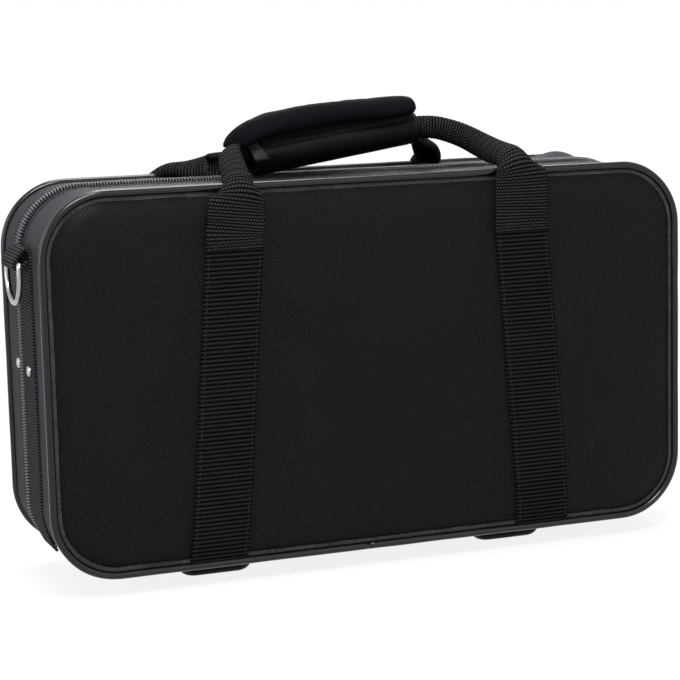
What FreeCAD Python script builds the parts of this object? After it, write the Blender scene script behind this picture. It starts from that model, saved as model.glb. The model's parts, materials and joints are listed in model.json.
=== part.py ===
import FreeCAD, Part

import math
import os

V = FreeCAD.Vector

# Soft-sided clarinet case, standing on its long fabric spine. Millimetres, +Z up, origin on the ground
# under the middle, X along the case, -Y towards the front panel. The base is the front half and the lid
# the rear half.

# Driving dimensions of the case
CASE_LENGTH = 350.0
CASE_HEIGHT = 192.0
BASE_DEPTH = 52.0
LID_DEPTH = 34.0
CORNER_R = 33.0
PIPING_D = 4.0
LID_OPEN_DEG = 95.0

# Wall layers, from the outside in
BAND_T = 1.2
PANEL_T = 1.2
SHELL_T = 4.0
LINING_T = 1.5
CROWN_FLOOR_T = 5.0
CROWN = 5.0
CROWN_EDGE = 60.0
CROWN_INSET_SHARES = (0.035, 0.10, 0.22, 0.50, 1.0)
CROWN_RISE_SHARES = (0.0, 0.44, 0.74, 0.92, 1.0)
LEAST_CORNER_SHARE = 0.25
MATING_GAP = 0.3
OVERRUN = 3.0

# Zip
TAPE_T = 0.8
TAPE_UNDERLAP = 5.0
ZIP_SLOT_HALF = 8.0
CHAIN_HALF = 3.0
CHAIN_RISE = 0.6
SPINE_HALF_LENGTH = 150.0

# Feet and their rivets
FOOT_H = 12.0
FOOT_L = 40.0
FOOT_W = 18.0
FOOT_X = 84.0
FOOT_EDGE_R = 6.0
BASE_FOOT_FROM_FRONT = 29.0
FOOT_RIVET_R = 2.0
FOOT_RIVET_HEAD_R = 5.0
FOOT_RIVET_HEAD_T = 1.2
FOOT_RIVET_BITE = 6.0

# Webbing sewn on the panels
STRAP_W = 30.0
STRAP_T = 1.6
SEAM_BELOW_TOP = 26.0
SEAM_GAP = 0.3
FRONT_LEFT_BOTTOM_X = -91.0
FRONT_LEFT_TOP_X = -78.0
FRONT_RIGHT_BOTTOM_X = 92.0
FRONT_RIGHT_TOP_X = 80.0
REAR_LEFT_X = -90.0
REAR_RIGHT_X = 67.0
FOLD_CLEAR = 0.3
FOLD_DEG = 165.0

# End webbing with its loop and D-ring
END_WEB_W = 25.0
END_WEB_T = 1.4
END_WEB_FROM_ZIP = 18.0
END_WEB_ABOVE_BOTTOM = 10.0
END_WEB_BELOW_TOP = 26.0
RING_BAR_BELOW_WEB = 9.0
RING_BAR_OUT = 7.0
RING_WIRE_D = 3.0
RING_W = 26.0
RING_BEND_R = 1.7
RING_DROP = 20.0
RING_CLEAR = 0.3
RING_IN_DEG = -8.0
RING_OUT_DEG = 150.0

# Lid stay: rivets through the end walls and a ribbon inside
STAY_ABOVE_MIDDLE = 6.0
STAY_FROM_WEB = -2.0
STAY_LID_FROM_ZIP = 10.0
STAY_RIVET_R = 1.4
STAY_CAP_R = 2.75
STAY_CAP_T = 1.3
STAY_DOME_SHARE = 0.7
STAY_HEAD_R = 3.5
STAY_HEAD_T = 0.8
RIBBON_T = 0.9
RIBBON_W = 12.0
RIBBON_CLEAR = 0.3

# Foam insert. Its pockets lie in rows from the left, with the bell's pocket on the right
INSERT_FRONT_GAP = 4.0
POCKET_LEFT_WALL = 13.3
POCKET_RIGHT_WALL = 11.3
POCKET_BOTTOM_WALL = 5.3
POCKET_WALL = 7.0
POCKET_CORNER_SHARE = 0.35
LOWER_JOINT_L = 250.0
LOWER_JOINT_W = 40.0
LOWER_JOINT_DEEP = 38.0
UPPER_JOINT_L = 226.0
UPPER_JOINT_W = 36.0
UPPER_JOINT_DEEP = 36.0
ACCESSORY_L = 196.0
ACCESSORY_W = 28.0
ACCESSORY_DEEP = 30.0
MOUTHPIECE_L = 90.0
MOUTHPIECE_W = 34.0
MOUTHPIECE_DEEP = 34.0
BARREL_L = 66.0
BELL_L = 106.0
BELL_W = 76.0
BELL_DEEP = 42.0
STAY_POCKET_DEEP = 4.5
STAY_POCKET_H = 30.0
STAY_POCKET_BACK = 22.0

# Lid cushion
PAD_T = 10.0
PAD_EDGE_T = 5.0
PAD_ROUND = 8.0
PAD_CLEAR = 0.4

# Grip on the front handle
GRIP_LEFT_X = -52.0
GRIP_RIGHT_X = 42.0
GRIP_Y = 2.0
GRIP_LEFT_RISE = 10.6
GRIP_RIGHT_RISE = 23.0
GRIP_R = 9.0
CORE_R = 5.5
LOOP_TAPE_T = 1.0
LOOP_TAPE_FROM_DEG = 35.0
LOOP_TAPE_TO_DEG = 130.0
LOOP_TAPE_END = 4.0
FLAP_GAP = 0.3
FLAP_T = 6.0
FLAP_BACK_DEG = 128.0
FLAP_FRONT_DEG = 38.0
FLAP_LIP_LIFT = 3.0
FLAP_OPEN_DEG = 115.0
HOOK_TAPE_T = 0.9
# Along the grip from its left end: place in shares of the grip, rise of the section in shares of the
# flap's thickness, and size of the section
FLAP_PLACE_SHARES = (-0.125, -0.10, -0.04, 0.06, 0.18, 0.42, 0.62, 0.86, 0.955, 0.985)
FLAP_RISE_SHARES = (-0.45, -0.05, 0.40, 0.66, 0.74, 0.54, 0.36, 0.0, 0.0, -0.05)
FLAP_SIZE_SHARES = (0.30, 0.62, 0.92, 1.0, 1.0, 1.0, 1.0, 1.0, 0.88, 0.5)
FLAP_TAPED = slice(4, 8)
FLAP_STEPS = 8
FLAP_LIP_SHARE = 0.8
HOOK_TAPE_STEPS = 6

# Free handle webbing, from where it leaves its seam. Rises are shares of the seam's depth below the top.
# Outward steps, shifts along X, offsets and widths are shares of the strap's width, and thicknesses are
# shares of its thickness. Each row towards the grip holds an offset, the direction across the webbing,
# a width and a thickness.
SECTION_POINTS = 16
SECTION_FLAT_SHARE = 0.3
SEAM_RISE_SHARES = (0.0, 0.423, 0.827, 1.154, 1.254)
SEAM_OUT_SHARES = (0.0, 0.007, 0.013, -0.113, -0.417)
LEFT_SHIFT_SHARES = (0.0, 0.033, 0.08, 0.12, 0.18)
LEFT_SIZE_SHARES = ((1.0, 1.0), (1.0, 1.0), (0.97, 1.0), (0.9, 1.125), (0.83, 1.5))
LEFT_TO_GRIP_SHARES = (
    ((-0.60, -0.72, -0.04), (0.8, -0.5, 0.3), 0.55, 2.9),
    ((-0.50, -0.40, 0.10), (0.4, -0.8, 0.4), 0.40, 3.44),
    ((-0.24, -0.10, 0.02), (0.0, -0.7, 0.7), 0.40, 5.3),
)
LEFT_END_SHARES = (0.0, -0.5, 0.86)
RIGHT_SHIFT_SHARES = (0.0, 0.01, 0.02, 0.067, 0.083)
RIGHT_SIZE_SHARES = ((1.0, 1.0), (1.0, 1.0), (1.0, 1.0), (0.933, 1.375), (0.767, 3.125))
RIGHT_TO_GRIP_SHARES = (
    ((1.233, -0.683, -0.407), (0.9, 0.3, 0.2), 0.533, 5.625),
    ((0.943, -0.30, -0.24), (0.7, 0.5, 0.4), 0.45, 7.19),
    ((0.613, -0.167, -0.08), (0.3, 0.6, 0.7), 0.433, 8.125),
    ((0.31, -0.08, -0.02), (0.0, 0.8, 0.6), 0.433, 8.125),
)
RIGHT_END_SHARES = (0.0, 0.8, 0.6)
REAR_SHIFT_SHARES = (0.0, 0.0, 0.0, 0.013, 0.083)
REAR_SIZE_SHARES = ((1.0, 1.0), (1.0, 1.0), (1.0, 1.0), (0.967, 1.125), (0.867, 1.375))
REAR_LEFT_SHOULDER_SHARES = (-0.35, 0.353, -0.03)
REAR_RIGHT_SHOULDER_SHARES = (0.40, 0.287, -0.20)
REAR_SHOULDER_SIZE_SHARES = (0.667, 1.875)
REAR_LEFT_TURN_SHARES = (0.9, 0.0, 0.4)
REAR_RIGHT_TURN_SHARES = (-0.9, 0.0, 0.4)
REAR_LOOP_PLACE_SHARES = (0.0, 0.18, 0.4, 0.6, 0.82, 1.0)
REAR_LOOP_LEFT_X = -61.0
REAR_LOOP_RIGHT_X = 44.0
REAR_LOOP_LEFT_RISE = 10.9
REAR_LOOP_RIGHT_RISE = 21.5
REAR_LOOP_Y = 17.4
REAR_LOOP_W = 14.0
REAR_LOOP_T = 3.6
REAR_LOOP_SAG = 1.6

# Zip slider and pull tab, on the right end
SLIDER_ABOVE_BOTTOM = 50.0
SLIDER_TRAVEL = 96.0
SLIDER_L = 14.0
SLIDER_W = 10.0
SLIDER_T = 1.6
SLIDER_CLEAR = 0.3
SLIDER_NOSE_SHARE = 0.32
SLIDER_TAIL_SHARE = 0.6
SLIDER_TIP_SHARE = 0.45
BAIL_D = 1.6
BAIL_RISE = 3.2
BAIL_L = 7.0
BAIL_GAP = 4.0
PULL_L = 30.0
PULL_W = 7.0
PULL_T = 1.4
PULL_EYE_R = 1.3
PULL_NECK_SHARE = 0.28
PULL_CORNER_SHARE = 0.35
PIN_CLEAR = 0.08
PULL_LIFT_DEG = 150.0

# Places worked out from the sizes above
CASE_DEPTH = BASE_DEPTH + LID_DEPTH
FRONT_Y = -CASE_DEPTH / 2
ZIP_Y = FRONT_Y + BASE_DEPTH
MID_Z = FOOT_H + CASE_HEIGHT / 2
TOP_Z = FOOT_H + CASE_HEIGHT
END_X = CASE_LENGTH / 2
WALL_T = BAND_T + SHELL_T
INNER = WALL_T + LINING_T
PIPING_R = PIPING_D / 2
BASE = -1
LID = 1
PANEL_FACE = CASE_DEPTH / 2 + CROWN
FLOOR_Y = PANEL_FACE - PANEL_T - CROWN_FLOOR_T
LINED_Y = FLOOR_Y - LINING_T
HANDLE_PIVOT_Y = PANEL_FACE + STRAP_T + FOLD_CLEAR
SEAM_Z = TOP_Z - SEAM_BELOW_TOP
LIFT_OUT = STRAP_T / 2 + FOLD_CLEAR
END_WEB_Y = ZIP_Y - END_WEB_FROM_ZIP
END_WEB_TOP_Z = TOP_Z - END_WEB_BELOW_TOP
END_WEB_BOTTOM_Z = FOOT_H + END_WEB_ABOVE_BOTTOM
RING_BAR_Z = END_WEB_TOP_Z - RING_BAR_BELOW_WEB
RING_BAR_X = END_X + RING_BAR_OUT
STAY_Z = MID_Z + STAY_ABOVE_MIDDLE
STAY_BASE_Y = END_WEB_Y + STAY_FROM_WEB
STAY_LID_Y = ZIP_Y + STAY_LID_FROM_ZIP
BASE_FOOT_Y = FRONT_Y + BASE_FOOT_FROM_FRONT
LID_FOOT_Y = (ZIP_Y + ZIP_SLOT_HALF + CASE_DEPTH / 2 - PIPING_R) / 2
SLIDER_Z = FOOT_H + SLIDER_ABOVE_BOTTOM
GRIP_LEFT = V(GRIP_LEFT_X, GRIP_Y, TOP_Z + GRIP_LEFT_RISE)
GRIP_RIGHT = V(GRIP_RIGHT_X, GRIP_Y, TOP_Z + GRIP_RIGHT_RISE)
GRIP_AXIS = (GRIP_RIGHT - GRIP_LEFT).normalize()
GRIP_UP = V(0, -1, 0).cross(GRIP_AXIS).normalize()
FLAP_IN_R = GRIP_R + LOOP_TAPE_T + FLAP_GAP + HOOK_TAPE_T
FLAP_MID_R = FLAP_IN_R + FLAP_T / 2
REAR_LOOP_LEFT = V(REAR_LOOP_LEFT_X, REAR_LOOP_Y, TOP_Z + REAR_LOOP_LEFT_RISE)
REAR_LOOP_RIGHT = V(REAR_LOOP_RIGHT_X, REAR_LOOP_Y, TOP_Z + REAR_LOOP_RIGHT_RISE)
FLAT = V(1, 0, 0)
UPRIGHT = V(0, 0, 1)
BACKWARDS = -1


def mouth(side):
    """Where a half stops, short of the zip plane."""
    return ZIP_Y + side * MATING_GAP / 2


def outline(inset, y):
    """Rounded rectangle in the plane y, drawn in from the outer face of the side bands."""
    hx = CASE_LENGTH / 2 - inset
    hz = CASE_HEIGHT / 2 - inset
    r = max(CORNER_R - inset, CORNER_R * LEAST_CORNER_SHARE)
    return rounded_rect(0, MID_Z, 2 * hx, 2 * hz, r, y)


def rounded_rect(x, z, length, height, r, y):
    """Closed wire in the plane y: four straight runs and four quarter arcs."""
    hx = length / 2
    hz = height / 2
    corners = ((hx - r, hz - r, 0), (r - hx, hz - r, 90), (r - hx, r - hz, 180), (hx - r, r - hz, 270))
    edges = []
    last = None
    first = None
    for cx, cz, start in corners:
        points = []
        for turn in (0, 45, 90):
            a = math.radians(start + turn)
            points.append(V(x + cx + r * math.cos(a), y, z + cz + r * math.sin(a)))
        if last is not None:
            edges.append(Part.makeLine(last, points[0]))
        else:
            first = points[0]
        edges.append(Part.Arc(points[0], points[1], points[2]).toShape())
        last = points[2]
    edges.append(Part.makeLine(last, first))
    return Part.Wire(edges)


def between(wire, y0, y1):
    """Solid from a wire in the plane y0 to the plane y1."""
    return Part.Face(wire).extrude(V(0, y1 - y0, 0))


def prism(inset, y0, y1):
    return between(outline(inset, y0), y0, y1)


def ring(outer_inset, inner_inset, y0, y1):
    return prism(outer_inset, y0, y1).cut(prism(inner_inset, y0, y1))


def box(x0, x1, y0, y1, z0, z1):
    return Part.makeBox(x1 - x0, y1 - y0, z1 - z0, V(x0, y0, z0))


def cylinder(r, start, end):
    return Part.makeCylinder(r, (end - start).Length, start, end - start)


def one(shape):
    """The first solid of a result, with seams between like faces removed."""
    shape = shape.removeSplitter()
    return shape.Solids[0]


def crown(side, shift):
    """Crowned block behind a panel's face, moved inwards by shift along the depth."""
    wires = []
    for inset, rise in zip(CROWN_INSET_SHARES, CROWN_RISE_SHARES):
        wires.append(outline(inset * CROWN_EDGE, side * (CASE_DEPTH / 2 + rise * CROWN - shift)))
    return Part.makeLoft(wires, True, True)


def crown_skin(side, outer_shift, inner_shift):
    """Layer between two copies of the crown, from the piping outwards."""
    skin = crown(side, outer_shift).cut(crown(side, inner_shift))
    edge = side * CASE_DEPTH / 2
    return skin.common(prism(0, edge, edge + side * (CROWN + STRAP_T + OVERRUN)))


def shell(side):
    """Board and foam tray of one half, open towards the zip."""
    edge = side * CASE_DEPTH / 2
    behind_piping = edge - side * PIPING_R
    tape_start = ZIP_Y + side * (ZIP_SLOT_HALF + TAPE_UNDERLAP)
    neck = CROWN_INSET_SHARES[0] * CROWN_EDGE
    body = prism(neck, edge, behind_piping)
    body = body.fuse(prism(BAND_T, behind_piping, tape_start))
    body = body.fuse(prism(BAND_T + TAPE_T, tape_start, mouth(side)))
    body = body.fuse(crown(side, PANEL_T))
    body = body.cut(prism(WALL_T, side * FLOOR_Y, mouth(side) - side * OVERRUN))
    return one(body)


def lining(side):
    """Plush layer over the floor and walls of one half."""
    outer = prism(WALL_T, side * FLOOR_Y, mouth(side))
    return one(outer.cut(prism(INNER, side * LINED_Y, mouth(side) - side * OVERRUN)))


def band(side):
    """Fabric band round one half, from the piping to the zip slot."""
    start = side * (CASE_DEPTH / 2 - PIPING_R)
    return ring(0, BAND_T, start, ZIP_Y + side * ZIP_SLOT_HALF)


def piping(side):
    """Bead round a panel's edge."""
    spine = outline(0, side * CASE_DEPTH / 2)
    start = spine.Edges[0].firstVertex().Point
    bead = Part.Wire(Part.makeCircle(PIPING_R, start, V(0, 0, 1)))
    return spine.makePipeShell([bead], True, False)


def spine_zone(side, inset):
    """The stretch of the slot along the bottom where the spine fabric takes the zip's place."""
    y0, y1 = sorted((mouth(side), ZIP_Y + side * (ZIP_SLOT_HALF + TAPE_UNDERLAP)))
    return box(-SPINE_HALF_LENGTH, SPINE_HALF_LENGTH, y0 - OVERRUN, y1 + OVERRUN, 0, FOOT_H + inset)


def zip_tape(side):
    tape = ring(BAND_T, BAND_T + TAPE_T, ZIP_Y + side * (ZIP_SLOT_HALF + TAPE_UNDERLAP), mouth(side))
    return one(tape.cut(spine_zone(side, CORNER_R)))


def zip_chain(side):
    chain = ring(-CHAIN_RISE, BAND_T, ZIP_Y + side * CHAIN_HALF, mouth(side))
    return one(chain.cut(spine_zone(side, CORNER_R)))


def spine(side):
    """Half of the fabric strip that the lid turns on."""
    strip = ring(0, BAND_T + TAPE_T, mouth(side), ZIP_Y + side * ZIP_SLOT_HALF)
    return one(strip.common(spine_zone(side, CORNER_R)))


def foot_rivet(x, y):
    """Rivet from inside the wall into a foot."""
    top = FOOT_H + WALL_T
    shank = cylinder(FOOT_RIVET_R, V(x, y, FOOT_H - FOOT_RIVET_BITE), V(x, y, top))
    head = cylinder(FOOT_RIVET_HEAD_R, V(x, y, top - FOOT_RIVET_HEAD_T), V(x, y, top))
    return one(shank.fuse(head))


def foot(x, y, rivet):
    """Oblong foot with a rounded lower edge."""
    pad = stadium(x, y, FOOT_L, FOOT_W, 0, FOOT_H)
    low = [e for e in pad.Edges if e.BoundBox.ZMax < FOOT_H / 2]
    return one(pad.makeFillet(FOOT_EDGE_R, low).cut(rivet))


def stadium(x, y, length, width, z0, z1):
    """Upright block with round ends, long in X."""
    r = width / 2
    reach = length / 2 - r
    block = box(x - reach, x + reach, y - r, y + r, z0, z1)
    for end in (x - reach, x + reach):
        block = block.fuse(cylinder(r, V(end, y, z0), V(end, y, z1)))
    return block.removeSplitter()


def sewn_strap(side, bottom_x, top_x):
    """Webbing on a panel, from the bottom piping up to its seam, leaning as it is sewn."""
    layer = crown_skin(side, -STRAP_T, 0)
    low_z = FOOT_H + PIPING_R
    y = side * CASE_DEPTH / 2
    half = STRAP_W / 2
    corners = (
        V(bottom_x - half, y, low_z),
        V(bottom_x + half, y, low_z),
        V(top_x + half, y, SEAM_Z),
        V(top_x - half, y, SEAM_Z),
        V(bottom_x - half, y, low_z),
    )
    strip = between(Part.makePolygon(corners), y, y + side * (CROWN + STRAP_T + OVERRUN))
    return one(layer.common(strip))


def section(centre, along, across, width, thick):
    """Closed outline square to the webbing: near a rectangle when flat, and near an oval when rolled."""
    along = V(along).normalize()
    wide = (across - along * across.dot(along)).normalize()
    up = along.cross(wide)
    softness = SECTION_FLAT_SHARE + (1 - SECTION_FLAT_SHARE) * thick / width
    points = []
    for i in range(SECTION_POINTS):
        a = 2 * math.pi * (i + 1 / 2) / SECTION_POINTS
        c = math.copysign(abs(math.cos(a)) ** softness, math.cos(a))
        s = math.copysign(abs(math.sin(a)) ** softness, math.sin(a))
        points.append(centre + wide * (c * width / 2) + up * (s * thick / 2))
    points.append(points[0])
    return Part.makePolygon(points)


def webbing(stations, end_along):
    """Webbing through stations of centre, across direction, width and thickness, leaving a seam upwards."""
    centres = [s[0] for s in stations]
    wires = []
    last = len(stations) - 1
    for i, (centre, across, width, thick) in enumerate(stations):
        along = centres[min(i + 1, last)] - centres[max(i - 1, 0)]
        if i == 0:
            along = UPRIGHT
        if i == last:
            along = end_along
        wires.append(section(centre, along, across, width, thick))
    return Part.makeLoft(wires, True, True)


def leaving_seam(x, side, shift_shares, size_shares):
    """Stations from a seam up over the piping."""
    stations = []
    rows = zip(SEAM_RISE_SHARES, SEAM_OUT_SHARES, shift_shares, size_shares)
    for rise, out, shift, size in rows:
        y = side * (PANEL_FACE + LIFT_OUT + out * STRAP_W)
        z = SEAM_Z + SEAM_GAP + rise * SEAM_BELOW_TOP
        stations.append((V(x + shift * STRAP_W, y, z), FLAT, size[0] * STRAP_W, size[1] * STRAP_T))
    return stations


def towards_grip(end, rows):
    """Stations from a table of shares, as offsets from an end of the grip."""
    return [(end + V(*offset) * STRAP_W, V(*across), wide * STRAP_W, thick * STRAP_T)
            for offset, across, wide, thick in rows]


def front_handle_left():
    stations = leaving_seam(FRONT_LEFT_TOP_X, BASE, LEFT_SHIFT_SHARES, LEFT_SIZE_SHARES)
    stations += towards_grip(GRIP_LEFT, LEFT_TO_GRIP_SHARES)
    stations.append((GRIP_LEFT, V(*LEFT_END_SHARES), 2 * CORE_R, 2 * CORE_R))
    return webbing(stations, GRIP_AXIS)


def front_handle_right():
    stations = leaving_seam(FRONT_RIGHT_TOP_X, BASE, RIGHT_SHIFT_SHARES, RIGHT_SIZE_SHARES)
    stations += towards_grip(GRIP_RIGHT, RIGHT_TO_GRIP_SHARES)
    stations.append((GRIP_RIGHT, V(*RIGHT_END_SHARES), 2 * CORE_R, 2 * CORE_R))
    return webbing(stations, BACKWARDS * GRIP_AXIS)


def rear_handle():
    """One loop of webbing from seam to seam, folded to half its width behind the grip."""
    stations = leaving_seam(REAR_LEFT_X, LID, REAR_SHIFT_SHARES, REAR_SIZE_SHARES)
    shoulders = [V(*shares) * STRAP_W for shares in (REAR_LEFT_SHOULDER_SHARES, REAR_RIGHT_SHOULDER_SHARES)]
    wide = REAR_SHOULDER_SIZE_SHARES[0] * STRAP_W
    thick = REAR_SHOULDER_SIZE_SHARES[1] * STRAP_T
    stations.append((REAR_LOOP_LEFT + shoulders[0], V(*REAR_LEFT_TURN_SHARES), wide, thick))
    for share in REAR_LOOP_PLACE_SHARES:
        sag = REAR_LOOP_SAG * 4 * share * (1 - share)
        centre = REAR_LOOP_LEFT + (REAR_LOOP_RIGHT - REAR_LOOP_LEFT) * share - UPRIGHT * sag
        stations.append((centre, UPRIGHT, REAR_LOOP_W, REAR_LOOP_T))
    stations.append((REAR_LOOP_RIGHT + shoulders[1], V(*REAR_RIGHT_TURN_SHARES), wide, thick))
    back = leaving_seam(REAR_RIGHT_X, LID, [-s for s in REAR_SHIFT_SHARES], REAR_SIZE_SHARES)
    for centre, across, width, thickness in reversed(back):
        stations.append((centre, BACKWARDS * across, width, thickness))
    return webbing(stations, BACKWARDS * UPRIGHT)


def grip_tube(r):
    return cylinder(r, GRIP_LEFT, GRIP_RIGHT)


def grip_core():
    """Webbing rolled round its own cord, inside the sleeve."""
    return grip_tube(CORE_R)


def grip_sleeve():
    return grip_tube(GRIP_R).cut(grip_tube(CORE_R))


def round_grip(place, r, angle_deg):
    """Point beside the grip's axis: place along it in mm, angle from the front over the top."""
    a = math.radians(angle_deg)
    return GRIP_LEFT + GRIP_AXIS * place + V(0, -r * math.cos(a), 0) + GRIP_UP * (r * math.sin(a))


def arc_band(place, r_in, r_out, start_deg, end_deg):
    """Closed outline across the grip: part of a ring between two angles."""
    mid = (start_deg + end_deg) / 2
    outer = [round_grip(place, r_out, a) for a in (start_deg, mid, end_deg)]
    inner = [round_grip(place, r_in, a) for a in (end_deg, mid, start_deg)]
    edges = [
        Part.Arc(outer[0], outer[1], outer[2]).toShape(),
        Part.makeLine(outer[2], inner[0]),
        Part.Arc(inner[0], inner[1], inner[2]).toShape(),
        Part.makeLine(inner[2], outer[0]),
    ]
    return Part.Wire(edges)


def loop_tape():
    """Fuzzy tape lying on the upper front of the sleeve."""
    length = (GRIP_RIGHT - GRIP_LEFT).Length
    start = LOOP_TAPE_END
    wire = arc_band(start, GRIP_R, GRIP_R + LOOP_TAPE_T, LOOP_TAPE_FROM_DEG, LOOP_TAPE_TO_DEG)
    return Part.Face(wire).extrude(GRIP_AXIS * (length - 2 * LOOP_TAPE_END))


def flap_lift(angle_deg):
    """How far the ajar flap stands off the sleeve, growing from its fold to its lip."""
    share = (FLAP_BACK_DEG - angle_deg) / (FLAP_BACK_DEG - FLAP_FRONT_DEG)
    return FLAP_LIP_LIFT * max(share, 0)


def flap_angles(size):
    """Angles round the grip from the flap's fold to its lip."""
    middle = (FLAP_BACK_DEG + FLAP_FRONT_DEG) / 2
    reach = (FLAP_BACK_DEG - FLAP_FRONT_DEG) / 2 * size
    return [middle + reach - 2 * reach * i / FLAP_STEPS for i in range(FLAP_STEPS + 1)]


def flap_outline(place, rise, size):
    """Section of the flap: a thick curved pad from its fold at the back to a rounded lip in front."""
    half = FLAP_T / 2 * size
    angles = flap_angles(size)
    start = angles[0]
    end = angles[-1]
    edge = math.degrees(half / FLAP_MID_R)
    points = [(FLAP_MID_R + half, a) for a in angles]
    lip = end - FLAP_LIP_SHARE * edge
    points += [(FLAP_MID_R + half / 2, lip), (FLAP_MID_R - half / 2, lip)]
    points += [(FLAP_MID_R - half, a) for a in reversed(angles)]
    points.append((FLAP_MID_R, start + edge / 2))
    return lifted(place, rise, points)


def lifted(place, rise, points):
    """Closed outline across the grip from radius and angle, with the flap's lift and rise."""
    corners = [round_grip(place, r + flap_lift(a), a) + GRIP_UP * rise for r, a in points]
    corners.append(corners[0])
    return Part.makePolygon(corners)


def flap_stations(stations):
    length = (GRIP_RIGHT - GRIP_LEFT).Length
    places = [share * length for share in FLAP_PLACE_SHARES[stations]]
    rises = [share * FLAP_T for share in FLAP_RISE_SHARES[stations]]
    return zip(places, rises, FLAP_SIZE_SHARES[stations])


def grip_flap():
    wires = [flap_outline(place, rise, size) for place, rise, size in flap_stations(slice(None))]
    return Part.makeLoft(wires, True, True)


def hook_tape():
    """Hook tape under the flap, over the loop tape."""
    angles = flap_angles(1.0)[:HOOK_TAPE_STEPS + 1]
    points = [(FLAP_IN_R, a) for a in angles]
    points += [(FLAP_IN_R - HOOK_TAPE_T, a) for a in reversed(angles)]
    wires = [lifted(place, rise, points) for place, rise, size in flap_stations(FLAP_TAPED)]
    return Part.makeLoft(wires, True, True)


def flap_pivot():
    """Point on the line that the flap turns about, at the rearmost edge of its fold."""
    edge = math.degrees(FLAP_T / 2 / FLAP_MID_R)
    return round_grip(0, FLAP_MID_R, FLAP_BACK_DEG + edge)


def end_webbing(side):
    """Strip sewn up an end of the case, whose top turns out and down into a loop round the ring's bar."""
    y0 = END_WEB_Y - END_WEB_W / 2
    y1 = END_WEB_Y + END_WEB_W / 2
    strip = ring(-END_WEB_T, 0, y0, y1)
    keep = box(0, END_X + OVERRUN, y0, y1, END_WEB_BOTTOM_Z, END_WEB_TOP_Z)
    bend = box(0, END_X - CORNER_R, y0, y1, 0, TOP_Z)
    strip = strip.common(keep).cut(bend)
    eye_r = RING_WIRE_D / 2 + RING_CLEAR
    loop_r = eye_r + END_WEB_T
    bar = V(RING_BAR_X, y0, RING_BAR_Z)
    across = V(0, END_WEB_W, 0)
    out = END_X + END_WEB_T
    tail = Part.makePolygon([
        V(END_X, y0, END_WEB_TOP_Z - 2 * END_WEB_T),
        V(END_X, y0, END_WEB_TOP_Z),
        V(out, y0, END_WEB_TOP_Z),
        V(bar.x + loop_r, y0, bar.z + loop_r / 2),
        V(bar.x + loop_r, y0, bar.z),
        V(bar.x - loop_r, y0, bar.z),
        V(END_X, y0, END_WEB_TOP_Z - 2 * END_WEB_T),
    ])
    loop = Part.Face(tail).extrude(across).fuse(cylinder(loop_r, bar, bar + across))
    loop = loop.cut(cylinder(eye_r, bar, bar + across))
    web = one(strip.fuse(loop))
    return web if side > 0 else mirror_x(web)


def mirror_x(shape):
    return shape.mirror(V(0, 0, 0), V(1, 0, 0))


def d_ring(side):
    """D-shaped ring hanging by its straight bar."""
    x = RING_BAR_X
    y = END_WEB_Y
    half = RING_W / 2 + RING_WIRE_D / 2
    r = RING_BEND_R
    z = RING_BAR_Z
    leg = RING_DROP - half
    turn = r * (1 - math.sin(math.radians(45)))
    p = {
        "bar_a": V(x, y - half + r, z),
        "bar_b": V(x, y + half - r, z),
        "b_mid": V(x, y + half - turn, z - turn),
        "b_low": V(x, y + half, z - r),
        "leg_b": V(x, y + half, z - leg),
        "bottom": V(x, y, z - leg - half),
        "leg_a": V(x, y - half, z - leg),
        "a_low": V(x, y - half, z - r),
        "a_mid": V(x, y - half + turn, z - turn),
    }
    edges = [
        Part.makeLine(p["bar_a"], p["bar_b"]),
        Part.Arc(p["bar_b"], p["b_mid"], p["b_low"]).toShape(),
        Part.makeLine(p["b_low"], p["leg_b"]),
        Part.Arc(p["leg_b"], p["bottom"], p["leg_a"]).toShape(),
        Part.makeLine(p["leg_a"], p["a_low"]),
        Part.Arc(p["a_low"], p["a_mid"], p["bar_a"]).toShape(),
    ]
    path = Part.Wire(edges)
    wire = Part.Wire(Part.makeCircle(RING_WIRE_D / 2, p["bar_a"], V(0, 1, 0)))
    ring_solid = path.makePipeShell([wire], True, False)
    return ring_solid if side > 0 else mirror_x(ring_solid)


def stay_rivet(side, y, backing, head_clear):
    """Rivet through an end wall: domed cap outside, washer head inside over the ribbon."""
    x = side * (END_X + backing)
    ribbon_in = END_X - INNER - RIBBON_CLEAR - RIBBON_T - head_clear
    inside = side * (ribbon_in - STAY_HEAD_T)
    shank = cylinder(STAY_RIVET_R, V(inside, y, STAY_Z), V(x, y, STAY_Z))
    head = cylinder(STAY_HEAD_R, V(inside, y, STAY_Z), V(side * ribbon_in, y, STAY_Z))
    cap = cylinder(STAY_CAP_R, V(x, y, STAY_Z), V(x + side * STAY_CAP_T, y, STAY_Z))
    rim = [e for e in cap.Edges if abs(e.CenterOfMass.x) > END_X + backing + STAY_CAP_T / 2 and e.Closed]
    cap = cap.makeFillet(STAY_CAP_T * STAY_DOME_SHARE, rim)
    return one(shank.fuse(head).fuse(cap))


def stay_ribbon(side):
    """Ribbon inside an end wall, from the base rivet across to the lid rivet."""
    outer = END_X - INNER - RIBBON_CLEAR
    y0 = STAY_BASE_Y - RIBBON_W / 2
    y1 = STAY_LID_Y + RIBBON_W / 2
    x0, x1 = sorted((side * (outer - RIBBON_T), side * outer))
    ribbon = box(x0, x1, y0, y1, STAY_Z - RIBBON_W / 2, STAY_Z + RIBBON_W / 2)
    for y, clear in ((STAY_BASE_Y, 0), (STAY_LID_Y, RIBBON_CLEAR)):
        hole = cylinder(STAY_RIVET_R + clear, V(x0 - OVERRUN, y, STAY_Z), V(x1 + OVERRUN, y, STAY_Z))
        ribbon = ribbon.cut(hole)
    return ribbon


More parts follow.
